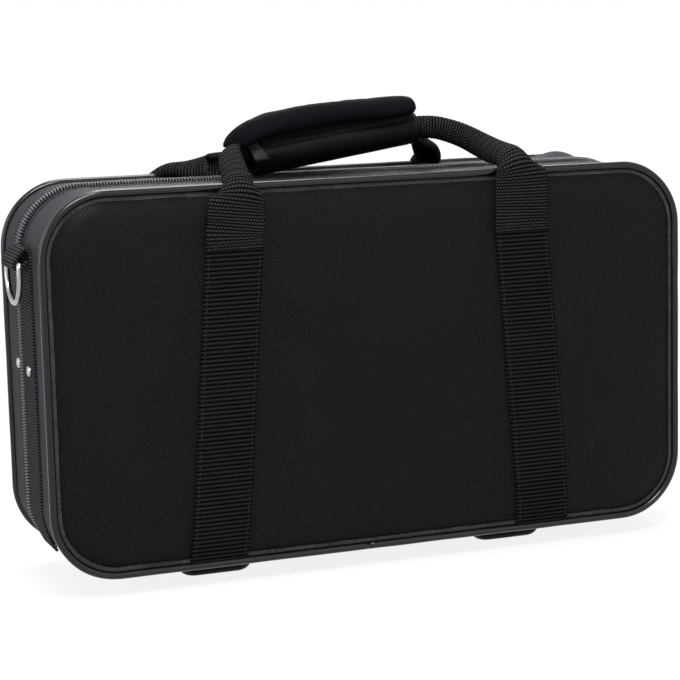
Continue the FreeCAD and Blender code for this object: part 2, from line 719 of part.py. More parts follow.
def pocket_layout():
    """Each pocket's middle x and z, length, height, corner radius and depth."""
    left = INNER + POCKET_LEFT_WALL - END_X
    right = END_X - INNER - POCKET_RIGHT_WALL
    rows = (
        (("lower_joint", LOWER_JOINT_L, LOWER_JOINT_W, LOWER_JOINT_DEEP),),
        (("upper_joint", UPPER_JOINT_L, UPPER_JOINT_W, UPPER_JOINT_DEEP),),
        (("accessory", ACCESSORY_L, ACCESSORY_W, ACCESSORY_DEEP),),
        (
            ("mouthpiece", MOUTHPIECE_L, MOUTHPIECE_W, MOUTHPIECE_DEEP),
            ("barrel", BARREL_L, MOUTHPIECE_W, MOUTHPIECE_DEEP),
        ),
    )
    layout = {}
    low = FOOT_H + INNER + POCKET_BOTTOM_WALL
    for row in rows:
        start = left
        for name, length, width, deep in row:
            middle = (start + length / 2, low + width / 2)
            layout[name] = middle + (length, width, width * POCKET_CORNER_SHARE, deep)
            start += length + POCKET_WALL
        low += row[0][2] + POCKET_WALL
    x, z, length, width = layout["upper_joint"][:4]
    bell_low = z + width / 2 + POCKET_WALL
    middle = (right - BELL_L / 2, bell_low + BELL_W / 2)
    layout["bell"] = middle + (BELL_L, BELL_W, BELL_W * POCKET_CORNER_SHARE, BELL_DEEP)
    return layout


POCKETS = pocket_layout()


def pocket(name, y0, y1):
    x, z, length, height, r, depth = POCKETS[name]
    return between(rounded_rect(x, z, length, height, r, y0), y0, y1)


def foam_insert():
    front = ZIP_Y - INSERT_FRONT_GAP
    block = prism(INNER, -LINED_Y, front)
    for name, sizes in POCKETS.items():
        block = block.cut(pocket(name, front - sizes[5], front + OVERRUN))
    for side in (-1, 1):
        x0, x1 = sorted((side * (END_X - INNER - STAY_POCKET_DEEP), side * END_X))
        y0 = STAY_BASE_Y - STAY_POCKET_BACK / 2
        z0 = STAY_Z - STAY_POCKET_H / 2
        block = block.cut(box(x0, x1, y0, front + OVERRUN, z0, z0 + STAY_POCKET_H))
    return one(block)


def lid_pad():
    """Crowned cushion against the lid's floor, open where the bell reaches in."""
    inset = INNER + PAD_CLEAR
    edge = LINED_Y - PAD_EDGE_T
    face = LINED_Y - PAD_T
    wires = [
        outline(inset, LINED_Y),
        outline(inset, edge),
        outline(inset + PAD_ROUND / 3, (edge + face) / 2 - PAD_ROUND / 8),
        outline(inset + PAD_ROUND, face),
    ]
    pad = Part.makeLoft(wires, True, True)
    pad = pad.cut(pocket("bell", face - OVERRUN, LINED_Y + OVERRUN))
    return one(pad)


def zip_slider():
    """Slider riding over the chain, with the bail that carries the pull tab."""
    base_x = END_X + CHAIN_RISE + SLIDER_CLEAR
    top_x = base_x + SLIDER_T
    half = SLIDER_W / 2
    tail = half * SLIDER_TAIL_SHARE
    tip = half * SLIDER_TIP_SHARE
    nose = SLIDER_L * SLIDER_NOSE_SHARE
    low = SLIDER_Z - SLIDER_L / 2
    high = SLIDER_Z + SLIDER_L / 2
    plate = Part.makePolygon([
        V(base_x, ZIP_Y - tail, low),
        V(base_x, ZIP_Y + tail, low),
        V(base_x, ZIP_Y + half, low + nose),
        V(base_x, ZIP_Y + half, high - nose),
        V(base_x, ZIP_Y + tip, high),
        V(base_x, ZIP_Y - tip, high),
        V(base_x, ZIP_Y - half, high - nose),
        V(base_x, ZIP_Y - half, low + nose),
        V(base_x, ZIP_Y - tail, low),
    ])
    body = Part.Face(plate).extrude(V(SLIDER_T, 0, 0))
    r = BAIL_D / 2
    pin_x = top_x + BAIL_RISE - r
    pin_z = SLIDER_Z
    for y in (ZIP_Y - BAIL_GAP / 2 - BAIL_D, ZIP_Y + BAIL_GAP / 2):
        cheek = box(top_x, pin_x, y, y + BAIL_D, pin_z - BAIL_L / 2, pin_z + BAIL_L / 2)
        cap = cylinder(r, V(pin_x, y, pin_z), V(pin_x, y + BAIL_D, pin_z))
        body = body.fuse(cheek).fuse(cap)
    reach = BAIL_GAP / 2 + BAIL_D
    body = body.fuse(cylinder(r, V(pin_x, ZIP_Y - reach, pin_z), V(pin_x, ZIP_Y + reach, pin_z)))
    return one(body)


def pull_pin():
    """Middle of the bail's pin, where the pull tab hangs."""
    x = END_X + CHAIN_RISE + SLIDER_CLEAR + SLIDER_T + BAIL_RISE - BAIL_D / 2
    return V(x, ZIP_Y, SLIDER_Z)


def zip_pull():
    """Pull tab: an eye round the bail's pin, a neck between the cheeks and a wider grip below."""
    pin = pull_pin()
    neck_w = BAIL_GAP - 4 * PIN_CLEAR
    eye_r = BAIL_D / 2 + PIN_CLEAR
    eye_out = eye_r + PULL_EYE_R / 2
    y0 = ZIP_Y - neck_w / 2
    start = V(pin.x, y0, pin.z)
    end = V(pin.x, y0 + neck_w, pin.z)
    tab = cylinder(eye_out, start, end)
    x0 = pin.x - PULL_T / 2
    neck_end = pin.z - PULL_L * PULL_NECK_SHARE
    tab = tab.fuse(box(x0, x0 + PULL_T, y0, y0 + neck_w, neck_end, pin.z))
    low = pin.z - PULL_L
    grip = box(x0, x0 + PULL_T, ZIP_Y - PULL_W / 2, ZIP_Y + PULL_W / 2, low, neck_end)
    through = [e for e in grip.Edges if e.BoundBox.XLength > PULL_T / 2]
    grip = grip.makeFillet(PULL_W * PULL_CORNER_SHARE, through)
    tab = tab.fuse(grip)
    return one(tab.cut(cylinder(eye_r, start - V(0, OVERRUN, 0), end + V(0, OVERRUN, 0))))


def half_parts(side):
    """The nodes that the base and the lid both have."""
    name = "base" if side == BASE else "lid"
    panel = "front" if side == BASE else "rear"
    foot_y = BASE_FOOT_Y if side == BASE else LID_FOOT_Y
    nodes = {
        name + "_shell": shell(side),
        panel + "_panel": one(crown_skin(side, 0, PANEL_T)),
        name + "_side_band": one(band(side)),
        panel + "_piping": piping(side),
        name + "_lining": lining(side),
        name + "_zip_tape": zip_tape(side),
        name + "_zip_chain": zip_chain(side),
        name + "_spine": spine(side),
    }
    rivets = [foot_rivet(x, foot_y) for x in (-FOOT_X, FOOT_X)]
    nodes[name + "_foot_rivets"] = Part.makeCompound(rivets)
    for word, x, rivet in zip(("left", "right"), (-FOOT_X, FOOT_X), rivets):
        nodes[name + "_foot_" + word] = foot(x, foot_y, rivet)
    rivet_y = STAY_BASE_Y if side == BASE else STAY_LID_Y
    backing = END_WEB_T if side == BASE else 0
    head_clear = 0 if side == BASE else RIBBON_CLEAR
    stays = [stay_rivet(end, rivet_y, backing, head_clear) for end in (-1, 1)]
    nodes[name + "_stay_rivets"] = Part.makeCompound(stays)
    for wall in (name + "_shell", name + "_side_band"):
        for rivet in rivets + stays:
            nodes[wall] = nodes[wall].cut(rivet)
    for wall in (name + "_lining", name + "_zip_tape"):
        for rivet in stays:
            nodes[wall] = nodes[wall].cut(rivet)
    return nodes, stays


def build():
    nodes, base_stays = half_parts(BASE)
    lid_nodes, lid_stays = half_parts(LID)
    nodes.update(lid_nodes)
    nodes["front_strap_left"] = sewn_strap(BASE, FRONT_LEFT_BOTTOM_X, FRONT_LEFT_TOP_X)
    nodes["front_strap_right"] = sewn_strap(BASE, FRONT_RIGHT_BOTTOM_X, FRONT_RIGHT_TOP_X)
    nodes["rear_strap_left"] = sewn_strap(LID, REAR_LEFT_X, REAR_LEFT_X)
    nodes["rear_strap_right"] = sewn_strap(LID, REAR_RIGHT_X, REAR_RIGHT_X)
    nodes["foam_insert"] = foam_insert()
    nodes["lid_pad"] = lid_pad()
    for word, side, rivet in (("left", -1, base_stays[0]), ("right", 1, base_stays[1])):
        nodes[word + "_end_webbing"] = end_webbing(side).cut(rivet)
        nodes[word + "_d_ring"] = d_ring(side)
        nodes[word + "_stay_ribbon"] = stay_ribbon(side)
    nodes["front_handle_left"] = front_handle_left()
    nodes["front_handle_right"] = front_handle_right()
    nodes["rear_handle"] = rear_handle()
    nodes["grip_core"] = grip_core()
    nodes["grip_sleeve"] = grip_sleeve()
    nodes["loop_tape"] = loop_tape()
    nodes["grip_flap"] = grip_flap()
    nodes["hook_tape"] = hook_tape()
    nodes["zip_slider"] = zip_slider()
    nodes["zip_pull"] = zip_pull()
    return nodes


def joints():
    """Each joint's place, the direction that it turns about or slides along, and its two limits."""
    left_bar = V(-RING_BAR_X, END_WEB_Y, RING_BAR_Z)
    right_bar = V(RING_BAR_X, END_WEB_Y, RING_BAR_Z)
    return {
        "lid_hinge": (V(0, ZIP_Y, FOOT_H), V(-1, 0, 0), 0, LID_OPEN_DEG),
        "front_handle_fold": (V(0, -HANDLE_PIVOT_Y, SEAM_Z), V(1, 0, 0), 0, FOLD_DEG),
        "rear_handle_fold": (V(0, HANDLE_PIVOT_Y, SEAM_Z), V(-1, 0, 0), 0, FOLD_DEG),
        "flap_open": (flap_pivot(), BACKWARDS * GRIP_AXIS, 0, FLAP_OPEN_DEG),
        "left_ring_swing": (left_bar, V(0, 1, 0), RING_IN_DEG, RING_OUT_DEG),
        "right_ring_swing": (right_bar, V(0, -1, 0), RING_IN_DEG, RING_OUT_DEG),
        "zip_slide": (V(END_X, ZIP_Y, SLIDER_Z), UPRIGHT, 0, SLIDER_TRAVEL),
        "pull_swing": (pull_pin(), V(0, -1, 0), 0, PULL_LIFT_DEG),
    }


def main():
    os.makedirs("parts", exist_ok=True)
    for node, shape in build().items():
        shape.exportStep("parts/" + node + ".step")
        b = shape.optimalBoundingBox()
        print("%-20s solids %d valid %s volume %.0f x %.1f..%.1f y %.1f..%.1f z %.1f..%.1f" % (
            node, len(shape.Solids), shape.isValid(), shape.Volume,
            b.XMin, b.XMax, b.YMin, b.YMax, b.ZMin, b.ZMax))
    for name, (place, axis, low, high) in joints().items():
        print("%-20s at %s along %s from %g to %g" % (name, tuple(place), tuple(axis), low, high))


main()
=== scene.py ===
import json
import math

import bmesh
import bpy
import numpy as np
from mathutils import Matrix, Vector, noise
from mathutils.geometry import delaunay_2d_cdt


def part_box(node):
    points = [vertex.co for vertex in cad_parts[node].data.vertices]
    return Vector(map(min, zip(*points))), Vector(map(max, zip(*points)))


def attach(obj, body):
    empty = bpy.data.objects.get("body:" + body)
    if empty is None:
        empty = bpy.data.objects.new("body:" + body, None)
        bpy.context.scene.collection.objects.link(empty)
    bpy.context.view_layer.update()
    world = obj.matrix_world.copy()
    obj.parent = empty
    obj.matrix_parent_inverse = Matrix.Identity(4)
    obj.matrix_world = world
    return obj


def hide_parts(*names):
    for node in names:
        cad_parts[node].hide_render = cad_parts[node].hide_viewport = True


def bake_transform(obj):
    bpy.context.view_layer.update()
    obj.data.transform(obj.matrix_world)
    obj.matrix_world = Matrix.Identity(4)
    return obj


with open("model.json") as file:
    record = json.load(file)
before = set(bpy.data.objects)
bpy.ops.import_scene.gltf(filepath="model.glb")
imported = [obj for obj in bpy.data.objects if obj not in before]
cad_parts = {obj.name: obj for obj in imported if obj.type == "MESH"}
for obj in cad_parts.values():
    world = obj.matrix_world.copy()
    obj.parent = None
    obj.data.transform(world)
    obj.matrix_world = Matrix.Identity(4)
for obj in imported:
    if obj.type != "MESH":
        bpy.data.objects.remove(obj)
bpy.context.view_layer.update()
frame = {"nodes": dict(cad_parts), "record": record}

# The case's own sizes, read from the frame, in metres
PIPING_LOW, PIPING_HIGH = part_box("front_piping")
PIPING_R = (PIPING_HIGH.y - PIPING_LOW.y) / 2
HALF_LENGTH = PIPING_HIGH.x - PIPING_R
BOTTOM_Z = PIPING_LOW.z + PIPING_R
TOP_Z = PIPING_HIGH.z - PIPING_R
MID_Z = (BOTTOM_Z + TOP_Z) / 2
HALF_HEIGHT = (TOP_Z - BOTTOM_Z) / 2
EDGE_Y = -(PIPING_LOW.y + PIPING_R)
PANEL_FACE = -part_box("front_panel")[0].y
CROWN = PANEL_FACE - EDGE_Y
MATING_HALF = (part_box("lid_zip_chain")[0].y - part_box("base_zip_chain")[1].y) / 2
ZIP_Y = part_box("lid_zip_chain")[0].y - MATING_HALF
CHAIN_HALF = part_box("lid_zip_chain")[1].y - ZIP_Y
SLOT_HALF = ZIP_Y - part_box("base_side_band")[1].y
LINING_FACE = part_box("foam_insert")[0].y
INNER = HALF_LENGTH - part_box("foam_insert")[1].x
INSERT_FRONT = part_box("foam_insert")[1].y
PAD_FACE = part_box("lid_pad")[0].y
PAD_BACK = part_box("lid_pad")[1].y
SPINE_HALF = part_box("base_spine")[1].x

# Sizes that the frame's boxes don't give
CORNER_R = 0.033
BAND_T = 0.0012
TAPE_T = 0.0008
STRAP_W = 0.030
STRAP_T = 0.0016
RIB_PITCH = 0.0022
RIB_RISE = 0.00022
BASE = -1
LID = 1
BODY_OF = {BASE: "base", LID: "lid"}
WORD_OF = {BASE: "front", LID: "rear"}
SIDES = ("left", "right")
SIDE_OF = {-1: "left", 1: "right"}


# Meshes

def link(name, data):
    """Puts a mesh, a light or a camera in the scene."""
    obj = bpy.data.objects.new(name, data)
    bpy.context.scene.collection.objects.link(obj)
    return obj


def set_smooth(mesh, smooth=True):
    mesh.polygons.foreach_set("use_smooth", [smooth] * len(mesh.polygons))


def add_object(name, verts, faces, loop_uvs=None, smooth=True):
    mesh = bpy.data.meshes.new(name)
    mesh.from_pydata([tuple(v) for v in verts], [], faces)
    if loop_uvs is not None:
        layer = mesh.uv_layers.new(name="UVMap")
        layer.data.foreach_set("uv", np.array(loop_uvs, np.float32).ravel())
    set_smooth(mesh, smooth)
    mesh.update()
    return link(name, mesh)


def skin(name, rings, us, vs, closed_ring=False, closed_path=False, caps=False):
    """Surface through rings of points. us runs along the path and vs round a ring, for the texture's place."""
    rows = len(rings)
    cols = len(rings[0])
    verts = [p for ring in rings for p in ring]
    faces = []
    uvs = []
    for i in range(rows if closed_path else rows - 1):
        for j in range(cols if closed_ring else cols - 1):
            i2 = (i + 1) % rows
            j2 = (j + 1) % cols
            faces.append((i * cols + j, i2 * cols + j, i2 * cols + j2, i * cols + j2))
            uvs += [(us[i], vs[j]), (us[i + 1], vs[j]), (us[i + 1], vs[j + 1]), (us[i], vs[j + 1])]
    if caps:
        for i in (0, rows - 1):
            faces.append(tuple(i * cols + j for j in range(cols)))
            uvs += [(us[i], vs[j]) for j in range(cols)]
    obj = add_object(name, verts, faces, uvs)
    outward(obj)
    return obj


def outward(obj):
    """Makes the faces of a closed mesh look outwards, keeping its texture places."""
    bm = bmesh.new()
    bm.from_mesh(obj.data)
    bmesh.ops.recalc_face_normals(bm, faces=bm.faces)
    bm.to_mesh(obj.data)
    bm.free()


def box_uv(obj):
    """Texture places in metres, looking along each face's main direction."""
    mesh = obj.data
    if not mesh.uv_layers:
        mesh.uv_layers.new(name="UVMap")
    data = mesh.uv_layers[0].data
    for poly in mesh.polygons:
        n = poly.normal
        axis = max(range(3), key=lambda k: abs(n[k]))
        for li in poly.loop_indices:
            p = mesh.vertices[mesh.loops[li].vertex_index].co
            data[li].uv = ((p.y, p.z), (p.x, p.z), (p.x, p.y))[axis]


def join(name, objs):
    """One object from several new ones."""
    bm = bmesh.new()
    for obj in objs:
        bm.from_mesh(obj.data)
    mesh = bpy.data.meshes.new(name)
    bm.to_mesh(mesh)
    bm.free()
    for obj in objs:
        bpy.data.objects.remove(obj)
    return link(name, mesh)


def ladder(faces, first, rows, sides):
    """Adds the quads between rows of points that follow each other, each row a closed ring."""
    for i in range(rows - 1):
        for a in range(sides):
            b = (a + 1) % sides
            low = first + i * sides
            high = low + sides
            faces.append((low + a, low + b, high + b, high + a))


def solid(name, verts, faces):
    obj = add_object(name, verts, faces)
    outward(obj)
    box_uv(obj)
    return obj


def soften(obj, amount, size, seed=0.0):
    """Moves each point along its normal by smooth noise, as soft fabric isn't quite even."""
    shift = Vector((seed, seed / 2, seed / 3))
    mesh = obj.data
    normals = [Vector(v.normal) for v in mesh.vertices]
    for v, n in zip(mesh.vertices, normals):
        v.co += n * (amount * noise.noise(v.co / size + shift))
    mesh.update()


def thicken(obj, thickness):
    mod = obj.modifiers.new("thickness", "SOLIDIFY")
    mod.thickness = thickness
    mod.offset = -1


def evaluated(obj):
    """A new mesh of the object as its modifiers leave it."""
    graph = bpy.context.evaluated_depsgraph_get()
    return bpy.data.meshes.new_from_object(obj.evaluated_get(graph))


SETTLE_FRAMES = 20


def settle(obj, voxel, pressure, most):
    """Lets a padded piece fill out as cloth under pressure, with no point moving further than most."""
    even = obj.modifiers.new("even", "REMESH")
    even.mode = "VOXEL"
    even.voxel_size = voxel
    mesh = evaluated(obj)
    obj.modifiers.clear()
    obj.data = mesh
    rest = [v.co.copy() for v in mesh.vertices]
    cloth = obj.modifiers.new("cloth", "CLOTH")
    cloth.settings.quality = 5
    cloth.settings.use_pressure = True
    cloth.settings.uniform_pressure_force = pressure
    cloth.settings.effector_weights.gravity = 0
    cloth.point_cache.frame_start = 1
    cloth.point_cache.frame_end = SETTLE_FRAMES
    for step in range(1, SETTLE_FRAMES + 1):
        bpy.context.scene.frame_set(step)
    moved = [v.co.copy() for v in evaluated(obj).vertices]
    obj.modifiers.clear()
    bpy.context.scene.frame_set(1)
    for v, was, now in zip(mesh.vertices, rest, moved):
        shift = now - was
        if not math.isfinite(shift.length):
            continue
        if shift.length > most:
            shift *= most / shift.length
        v.co = was + shift
    set_smooth(mesh)
    mesh.update()
    box_uv(obj)


def there_and_back(vs, back_at, end):
    """Texture places round a flat section: along its face, along its back and at its last edge."""
    return vs + [v + back_at for v in vs] + [end]


def hump(away, width):
    """Smooth hump of height 1 in its middle, where away is the distance from there."""
    return math.exp(-(away / width) ** 2)


def running(points):
    """Distance along a line of points."""
    out = [0.0]
    for a, b in zip(points, points[1:]):
        out.append(out[-1] + (Vector(b) - Vector(a)).length)
    return out


# The rounded outline of the case

CORE_X = HALF_LENGTH - CORNER_R
CORE_Z = HALF_HEIGHT - CORNER_R
ARC = math.pi / 2 * CORNER_R
LEGS = (
    (CORE_X, "line", (0.0, -CORE_Z), (1, 0)),
    (ARC, "arc", (CORE_X, -CORE_Z), -90),
    (2 * CORE_Z, "line", (CORE_X, -CORE_Z), (0, 1)),
    (ARC, "arc", (CORE_X, CORE_Z), 0),
    (2 * CORE_X, "line", (CORE_X, CORE_Z), (-1, 0)),
    (ARC, "arc", (-CORE_X, CORE_Z), 90),
    (2 * CORE_Z, "line", (-CORE_X, CORE_Z), (0, -1)),
    (ARC, "arc", (-CORE_X, -CORE_Z), 180),
    (CORE_X, "line", (-CORE_X, -CORE_Z), (1, 0)),
)
LOOP = sum(leg[0] for leg in LEGS)
# Where the zip stops at each end of the spine, as a distance round the outline
ZIP_START = CORE_X + CORNER_R * math.asin((SPINE_HALF - CORE_X) / CORNER_R)


def loop_place(s):
    """Core point and outward direction at a distance s round the case, from the middle of its bottom."""
    s = s % LOOP
    for length, kind, start, way in LEGS:
        if s <= length:
            break
        s -= length
    if kind == "line":
        return (start[0] + way[0] * s, start[1] + way[1] * s, way[1], -way[0])
    a = math.radians(way) + s / CORNER_R
    return (start[0], start[1], math.cos(a), math.sin(a))


def on_loop(s, inset, y):
    """Point at a distance round the case, drawn in from the side band's face, at depth y."""
    cx, cz, nx, nz = loop_place(s)
    reach = CORNER_R - inset
    return Vector((cx + nx * reach, y, MID_Z + cz + nz * reach))


def steps(start, end, step):
    count = max(2, round((end - start) / step))
    return [start + (end - start) * i / count for i in range(count + 1)]


def sweep(name, profile, step=0.002, span=None, closed=True):
    """Skin round the case, from a profile of insets and depths."""
    places = steps(0, LOOP, step) if span is None else steps(span[0], span[1], step)
    used = places[:-1] if span is None else places
    rings = [[on_loop(s, inset, y) for inset, y in profile] for s in used]
    flat = [Vector((inset, y, 0)) for inset, y in profile]
    vs = running(flat + flat[:1])
    return skin(name, rings, places, vs, closed_ring=closed, closed_path=span is None,
                caps=closed and span is not None)


def edge_distance(x, z):
    """How far a point of the panel lies inside the case's outline."""
    qx = abs(x) - CORE_X
    qz = abs(z - MID_Z) - CORE_Z
    return CORNER_R - math.hypot(max(qx, 0), max(qz, 0)) - min(max(qx, qz), 0)


def rect_ring(x, z, half_x, half_z, r, step=0.002, arc_points=8):
    """Points of a rounded rectangle. Rings with the same middle, straights and steps have matching points."""
    points = []
    run_x = half_x - r
    run_z = half_z - r
    n_x = max(1, round(2 * run_x / step))
    n_z = max(1, round(2 * run_z / step))
    corners = (
        (run_x, run_z, 0, n_x),
        (-run_x, run_z, 90, n_z),
        (-run_x, -run_z, 180, n_x),
        (run_x, -run_z, 270, n_z),
    )
    for k, (cx, cz, start, count) in enumerate(corners):
        for i in range(arc_points):
            a = math.radians(start + 90 * i / arc_points)
            points.append((x + cx + r * math.cos(a), z + cz + r * math.sin(a)))
        a = math.radians(start + 90)
        begin = (x + cx + r * math.cos(a), z + cz + r * math.sin(a))
        nx, nz = corners[(k + 1) % 4][:2]
        finish = (x + nx + r * math.cos(a), z + nz + r * math.sin(a))
        for i in range(count):
            t = i / count
            points.append((begin[0] + (finish[0] - begin[0]) * t, begin[1] + (finish[1] - begin[1]) * t))
    return points


def case_ring(inset, step=0.002, arc_points=24):
    """Ring round the case at one inset, with the same count of points whatever the inset."""
    return rect_ring(0, MID_Z, HALF_LENGTH - inset, HALF_HEIGHT - inset, CORNER_R - inset, step, arc_points)


def inside_ring(ring, x, z):
    """Whether a point lies inside a closed ring, by counting crossings."""
    hit = False
    for (x0, z0), (x1, z1) in zip(ring, ring[1:] + ring[:1]):
        if (z0 > z) != (z1 > z) and x < x0 + (z - z0) / (z1 - z0) * (x1 - x0):
            hit = not hit
    return hit


def fill(ring, holes, step, keep):
    """Triangles inside a ring and outside its holes, with a grid of points where keep(x, z) is true."""
    points = [Vector(p) for p in ring]
    edges = [(i, (i + 1) % len(ring)) for i in range(len(ring))]
    for hole in holes:
        first = len(points)
        points += [Vector(p) for p in hole]
        edges += [(first + i, first + (i + 1) % len(hole)) for i in range(len(hole))]
    xs = [p[0] for p in ring]
    zs = [p[1] for p in ring]
    for x in steps(min(xs), max(xs), step):
        for z in steps(min(zs), max(zs), step):
            if keep(x, z):
                points.append(Vector((x, z)))
    verts, _, faces, _, _, _ = delaunay_2d_cdt(points, edges, [], 1, 1e-6)
    kept = []
    for face in faces:
        mx = sum(verts[i].x for i in face) / 3
        mz = sum(verts[i].y for i in face) / 3
        if any(inside_ring(hole, mx, mz) for hole in holes) or not inside_ring(ring, mx, mz):
            continue
        kept.append(tuple(face))
    return [(v.x, v.y) for v in verts], kept


def surface(name, stacks, fills, weld=1e-5):
    """One mesh from stacks of matching rings of 3-D points and from filled patches, welded where they meet."""
    bm = bmesh.new()
    for rings in stacks:
        made = [[bm.verts.new(p) for p in ring] for ring in rings]
        for a, b in zip(made, made[1:]):
            for j in range(len(a)):
                k = (j + 1) % len(a)
                bm.faces.new((a[j], a[k], b[k], b[j]))
    for points, faces in fills:
        made = [bm.verts.new(p) for p in points]
        for face in faces:
            bm.faces.new([made[i] for i in face])
    bmesh.ops.remove_doubles(bm, verts=bm.verts, dist=weld)
    bmesh.ops.recalc_face_normals(bm, faces=bm.faces)
    mesh = bpy.data.meshes.new(name)
    bm.to_mesh(mesh)
    bm.free()
    set_smooth(mesh)
    obj = link(name, mesh)
    box_uv(obj)
    return obj


# Materials

MATERIALS = {}


class Graph:
    """Short hand for a material's nodes."""

    def __init__(self, name, colour, rough, **values):
        self.mat = bpy.data.materials.new(name)
        MATERIALS[name] = self.mat
        self.mat.use_nodes = True
        self.mat.diffuse_color = (*colour, 1)
        self.tree = self.mat.node_tree
        self.shader = self.tree.nodes["Principled BSDF"]
        self.shader.inputs["Base Color"].default_value = (*colour, 1)
        self.shader.inputs["Roughness"].default_value = rough
        for key, value in values.items():
            self.shader.inputs[key.replace("_", " ")].default_value = value

    def add(self, kind, **inputs):
        node = self.tree.nodes.new(kind)
        for key, value in inputs.items():
            self.put(node.inputs[key.replace("_", " ")], value)
        return node

    def put(self, socket, value):
        if isinstance(value, bpy.types.NodeSocket):
            self.tree.links.new(value, socket)
        else:
            socket.default_value = value

    def math(self, operation, a, b=0.0, clamp=False):
        node = self.tree.nodes.new("ShaderNodeMath")
        node.operation = operation
        node.use_clamp = clamp
        self.put(node.inputs[0], a)
        self.put(node.inputs[1], b)
        return node.outputs[0]

    def times(self, a, b, clamp=False):
        return self.math("MULTIPLY", a, b, clamp)

    def plus(self, a, b):
        return self.math("ADD", a, b)

    def uv(self, scale_u, scale_v):
        """The texture place along u and v, in repeats of the given sizes."""
        node = self.tree.nodes.new("ShaderNodeUVMap")
        node.uv_map = "UVMap"
        parts = self.add("ShaderNodeSeparateXYZ", Vector=node.outputs[0])
        return self.times(parts.outputs[0], 1 / scale_u), self.times(parts.outputs[1], 1 / scale_v)

    def place(self):
        return self.add("ShaderNodeTexCoord").outputs["Object"]

    def noise(self, size, detail=2.0, rough=0.5):
        node = self.add("ShaderNodeTexNoise", Vector=self.place(), Scale=1 / size, Detail=detail, Roughness=rough)
        return node.outputs["Fac"]

    def mix(self, factor, a, b):
        node = self.tree.nodes.new("ShaderNodeMix")
        node.data_type = "RGBA"
        self.put(node.inputs["Factor"], factor)
        self.put(node.inputs[6], a if isinstance(a, bpy.types.NodeSocket) else (*a, 1))
        self.put(node.inputs[7], b if isinstance(b, bpy.types.NodeSocket) else (*b, 1))
        return node.outputs[2]

    def bend(self, value, low, high, to_low, to_high):
        node = self.add("ShaderNodeMapRange")
        self.put(node.inputs["Value"], value)
        for key, number in (("From Min", low), ("From Max", high), ("To Min", to_low), ("To Max", to_high)):
            node.inputs[key].default_value = number
        return node.outputs[0]

    def wave(self, value):
        """Size of the sine of a count of half turns: a row of rounded humps, one for each whole number."""
        return self.math("ABSOLUTE", self.math("SINE", self.times(value, math.pi)))

    def bump(self, height, distance, strength=1.0, normal=None):
        node = self.add("ShaderNodeBump", Height=height, Strength=strength, Distance=distance)
        if normal is not None:
            self.put(node.inputs["Normal"], normal)
        return node.outputs[0]

    def finish(self, colour=None, rough=None, normal=None):
        for key, value in (("Base Color", colour), ("Roughness", rough), ("Normal", normal)):
            if value is not None:
                self.put(self.shader.inputs[key], value)
        return self.mat


def scaled(colour, factor):
    return tuple(c * factor for c in colour)


def woven(name, colour, cell, contrast, depth, rough, shine, worn=0.12):
    """Basket weave: groups of yarn that pass over and under in a chequer, with slow patches of tone, and painted
    highlight on the raised yarn and painted shade where it dips under.
    """
    g = Graph(name, colour, rough, Specular_IOR_Level=shine)
    u, v = g.uv(cell, cell)
    odd = g.math("MODULO", g.plus(g.math("FLOOR", u), g.math("FLOOR", v)), 2.0)
    odd = g.math("ABSOLUTE", odd)
    hump_u = g.math("POWER", g.wave(u), 0.6)
    hump_v = g.math("POWER", g.wave(v), 0.6)
    warp = g.times(hump_u, g.plus(g.times(hump_v, 0.35), 0.65))
    weft = g.times(hump_v, g.plus(g.times(hump_u, 0.35), 0.65))
    over = g.times(warp, g.math("SUBTRACT", 1.0, odd))
    under = g.times(g.times(weft, odd), 1 - contrast * 0.6)
    height = g.plus(over, under)
    patches = g.bend(g.noise(0.03, 3.0), 0.3, 0.7, -worn, worn)
    # Painted highlight and painted shade: the colour follows the weave's height, light on raised yarn and dark on
    # low yarn.
    tone = g.plus(g.bend(height, 0.0, 1.0, 1 - contrast, 1 + contrast * 0.5), patches)
    tone = g.times(tone, 0.5, clamp=True)
    tint = g.mix(tone, (0.0, 0.0, 0.0), scaled(colour, 2.0))
    lint = g.bend(g.noise(0.0011, 4.0, 0.7), 0.30, 0.72, rough + 0.10, rough - 0.10)
    normal = g.bump(height, depth)
    return g.finish(tint, lint, normal)


def ribbed(name, colour, rib, yarn, depth, rough, shine=0.10, beaded=0.5):
    """Webbing: ribs across the strap, each crossed by twisted yarns, with painted highlight on the crests and
    painted shade in the gaps between ribs.
    """
    g = Graph(name, colour, rough, Specular_IOR_Level=shine)
    u, v = g.uv(rib, yarn)
    row = g.math("FLOOR", u)
    crest = g.math("POWER", g.wave(u), 1.8)
    shifted = g.plus(v, g.times(g.math("MODULO", row, 2.0), 0.5))
    beads = g.math("POWER", g.wave(shifted), 0.8)
    height = g.times(crest, g.plus(g.times(beads, beaded), 1 - beaded))
    fibres = g.noise(0.0006, 3.0, 0.7)
    patches = g.bend(g.noise(0.02, 2.0), 0.3, 0.7, -0.12, 0.12)
    # Painted highlight and painted shade: the colour follows the ribs' height, pale on the crests and dark in the
    # gaps.
    tone = g.plus(g.bend(height, 0.0, 1.0, -0.15, 3.2), patches)
    tone = g.plus(tone, g.bend(fibres, 0.3, 0.7, -0.25, 0.25))
    tone = g.math("DIVIDE", tone, 3.0, clamp=True)
    tint = g.mix(tone, (0.0, 0.0, 0.0), scaled(colour, 3.0))
    normal = g.bump(height, depth)
    return g.finish(tint, None, normal)


def fuzzy(name, colour, size, depth, rough=0.95, sheen=0.05):
    """Pile: short fibres that catch light at their tips."""
    g = Graph(name, colour, rough, Sheen_Weight=sheen, Sheen_Roughness=0.5, Specular_IOR_Level=0.05)
    tufts = g.noise(size, 4.0, 0.75)
    clumps = g.noise(size * 6, 2.0, 0.5)
    height = g.plus(g.times(tufts, 0.7), g.times(clumps, 0.3))
    tone = g.bend(height, 0.36, 0.62, 0.15, 1.0)
    tint = g.mix(tone, scaled(colour, 0.45), scaled(colour, 1.7))
    return g.finish(tint, None, g.bump(height, depth))


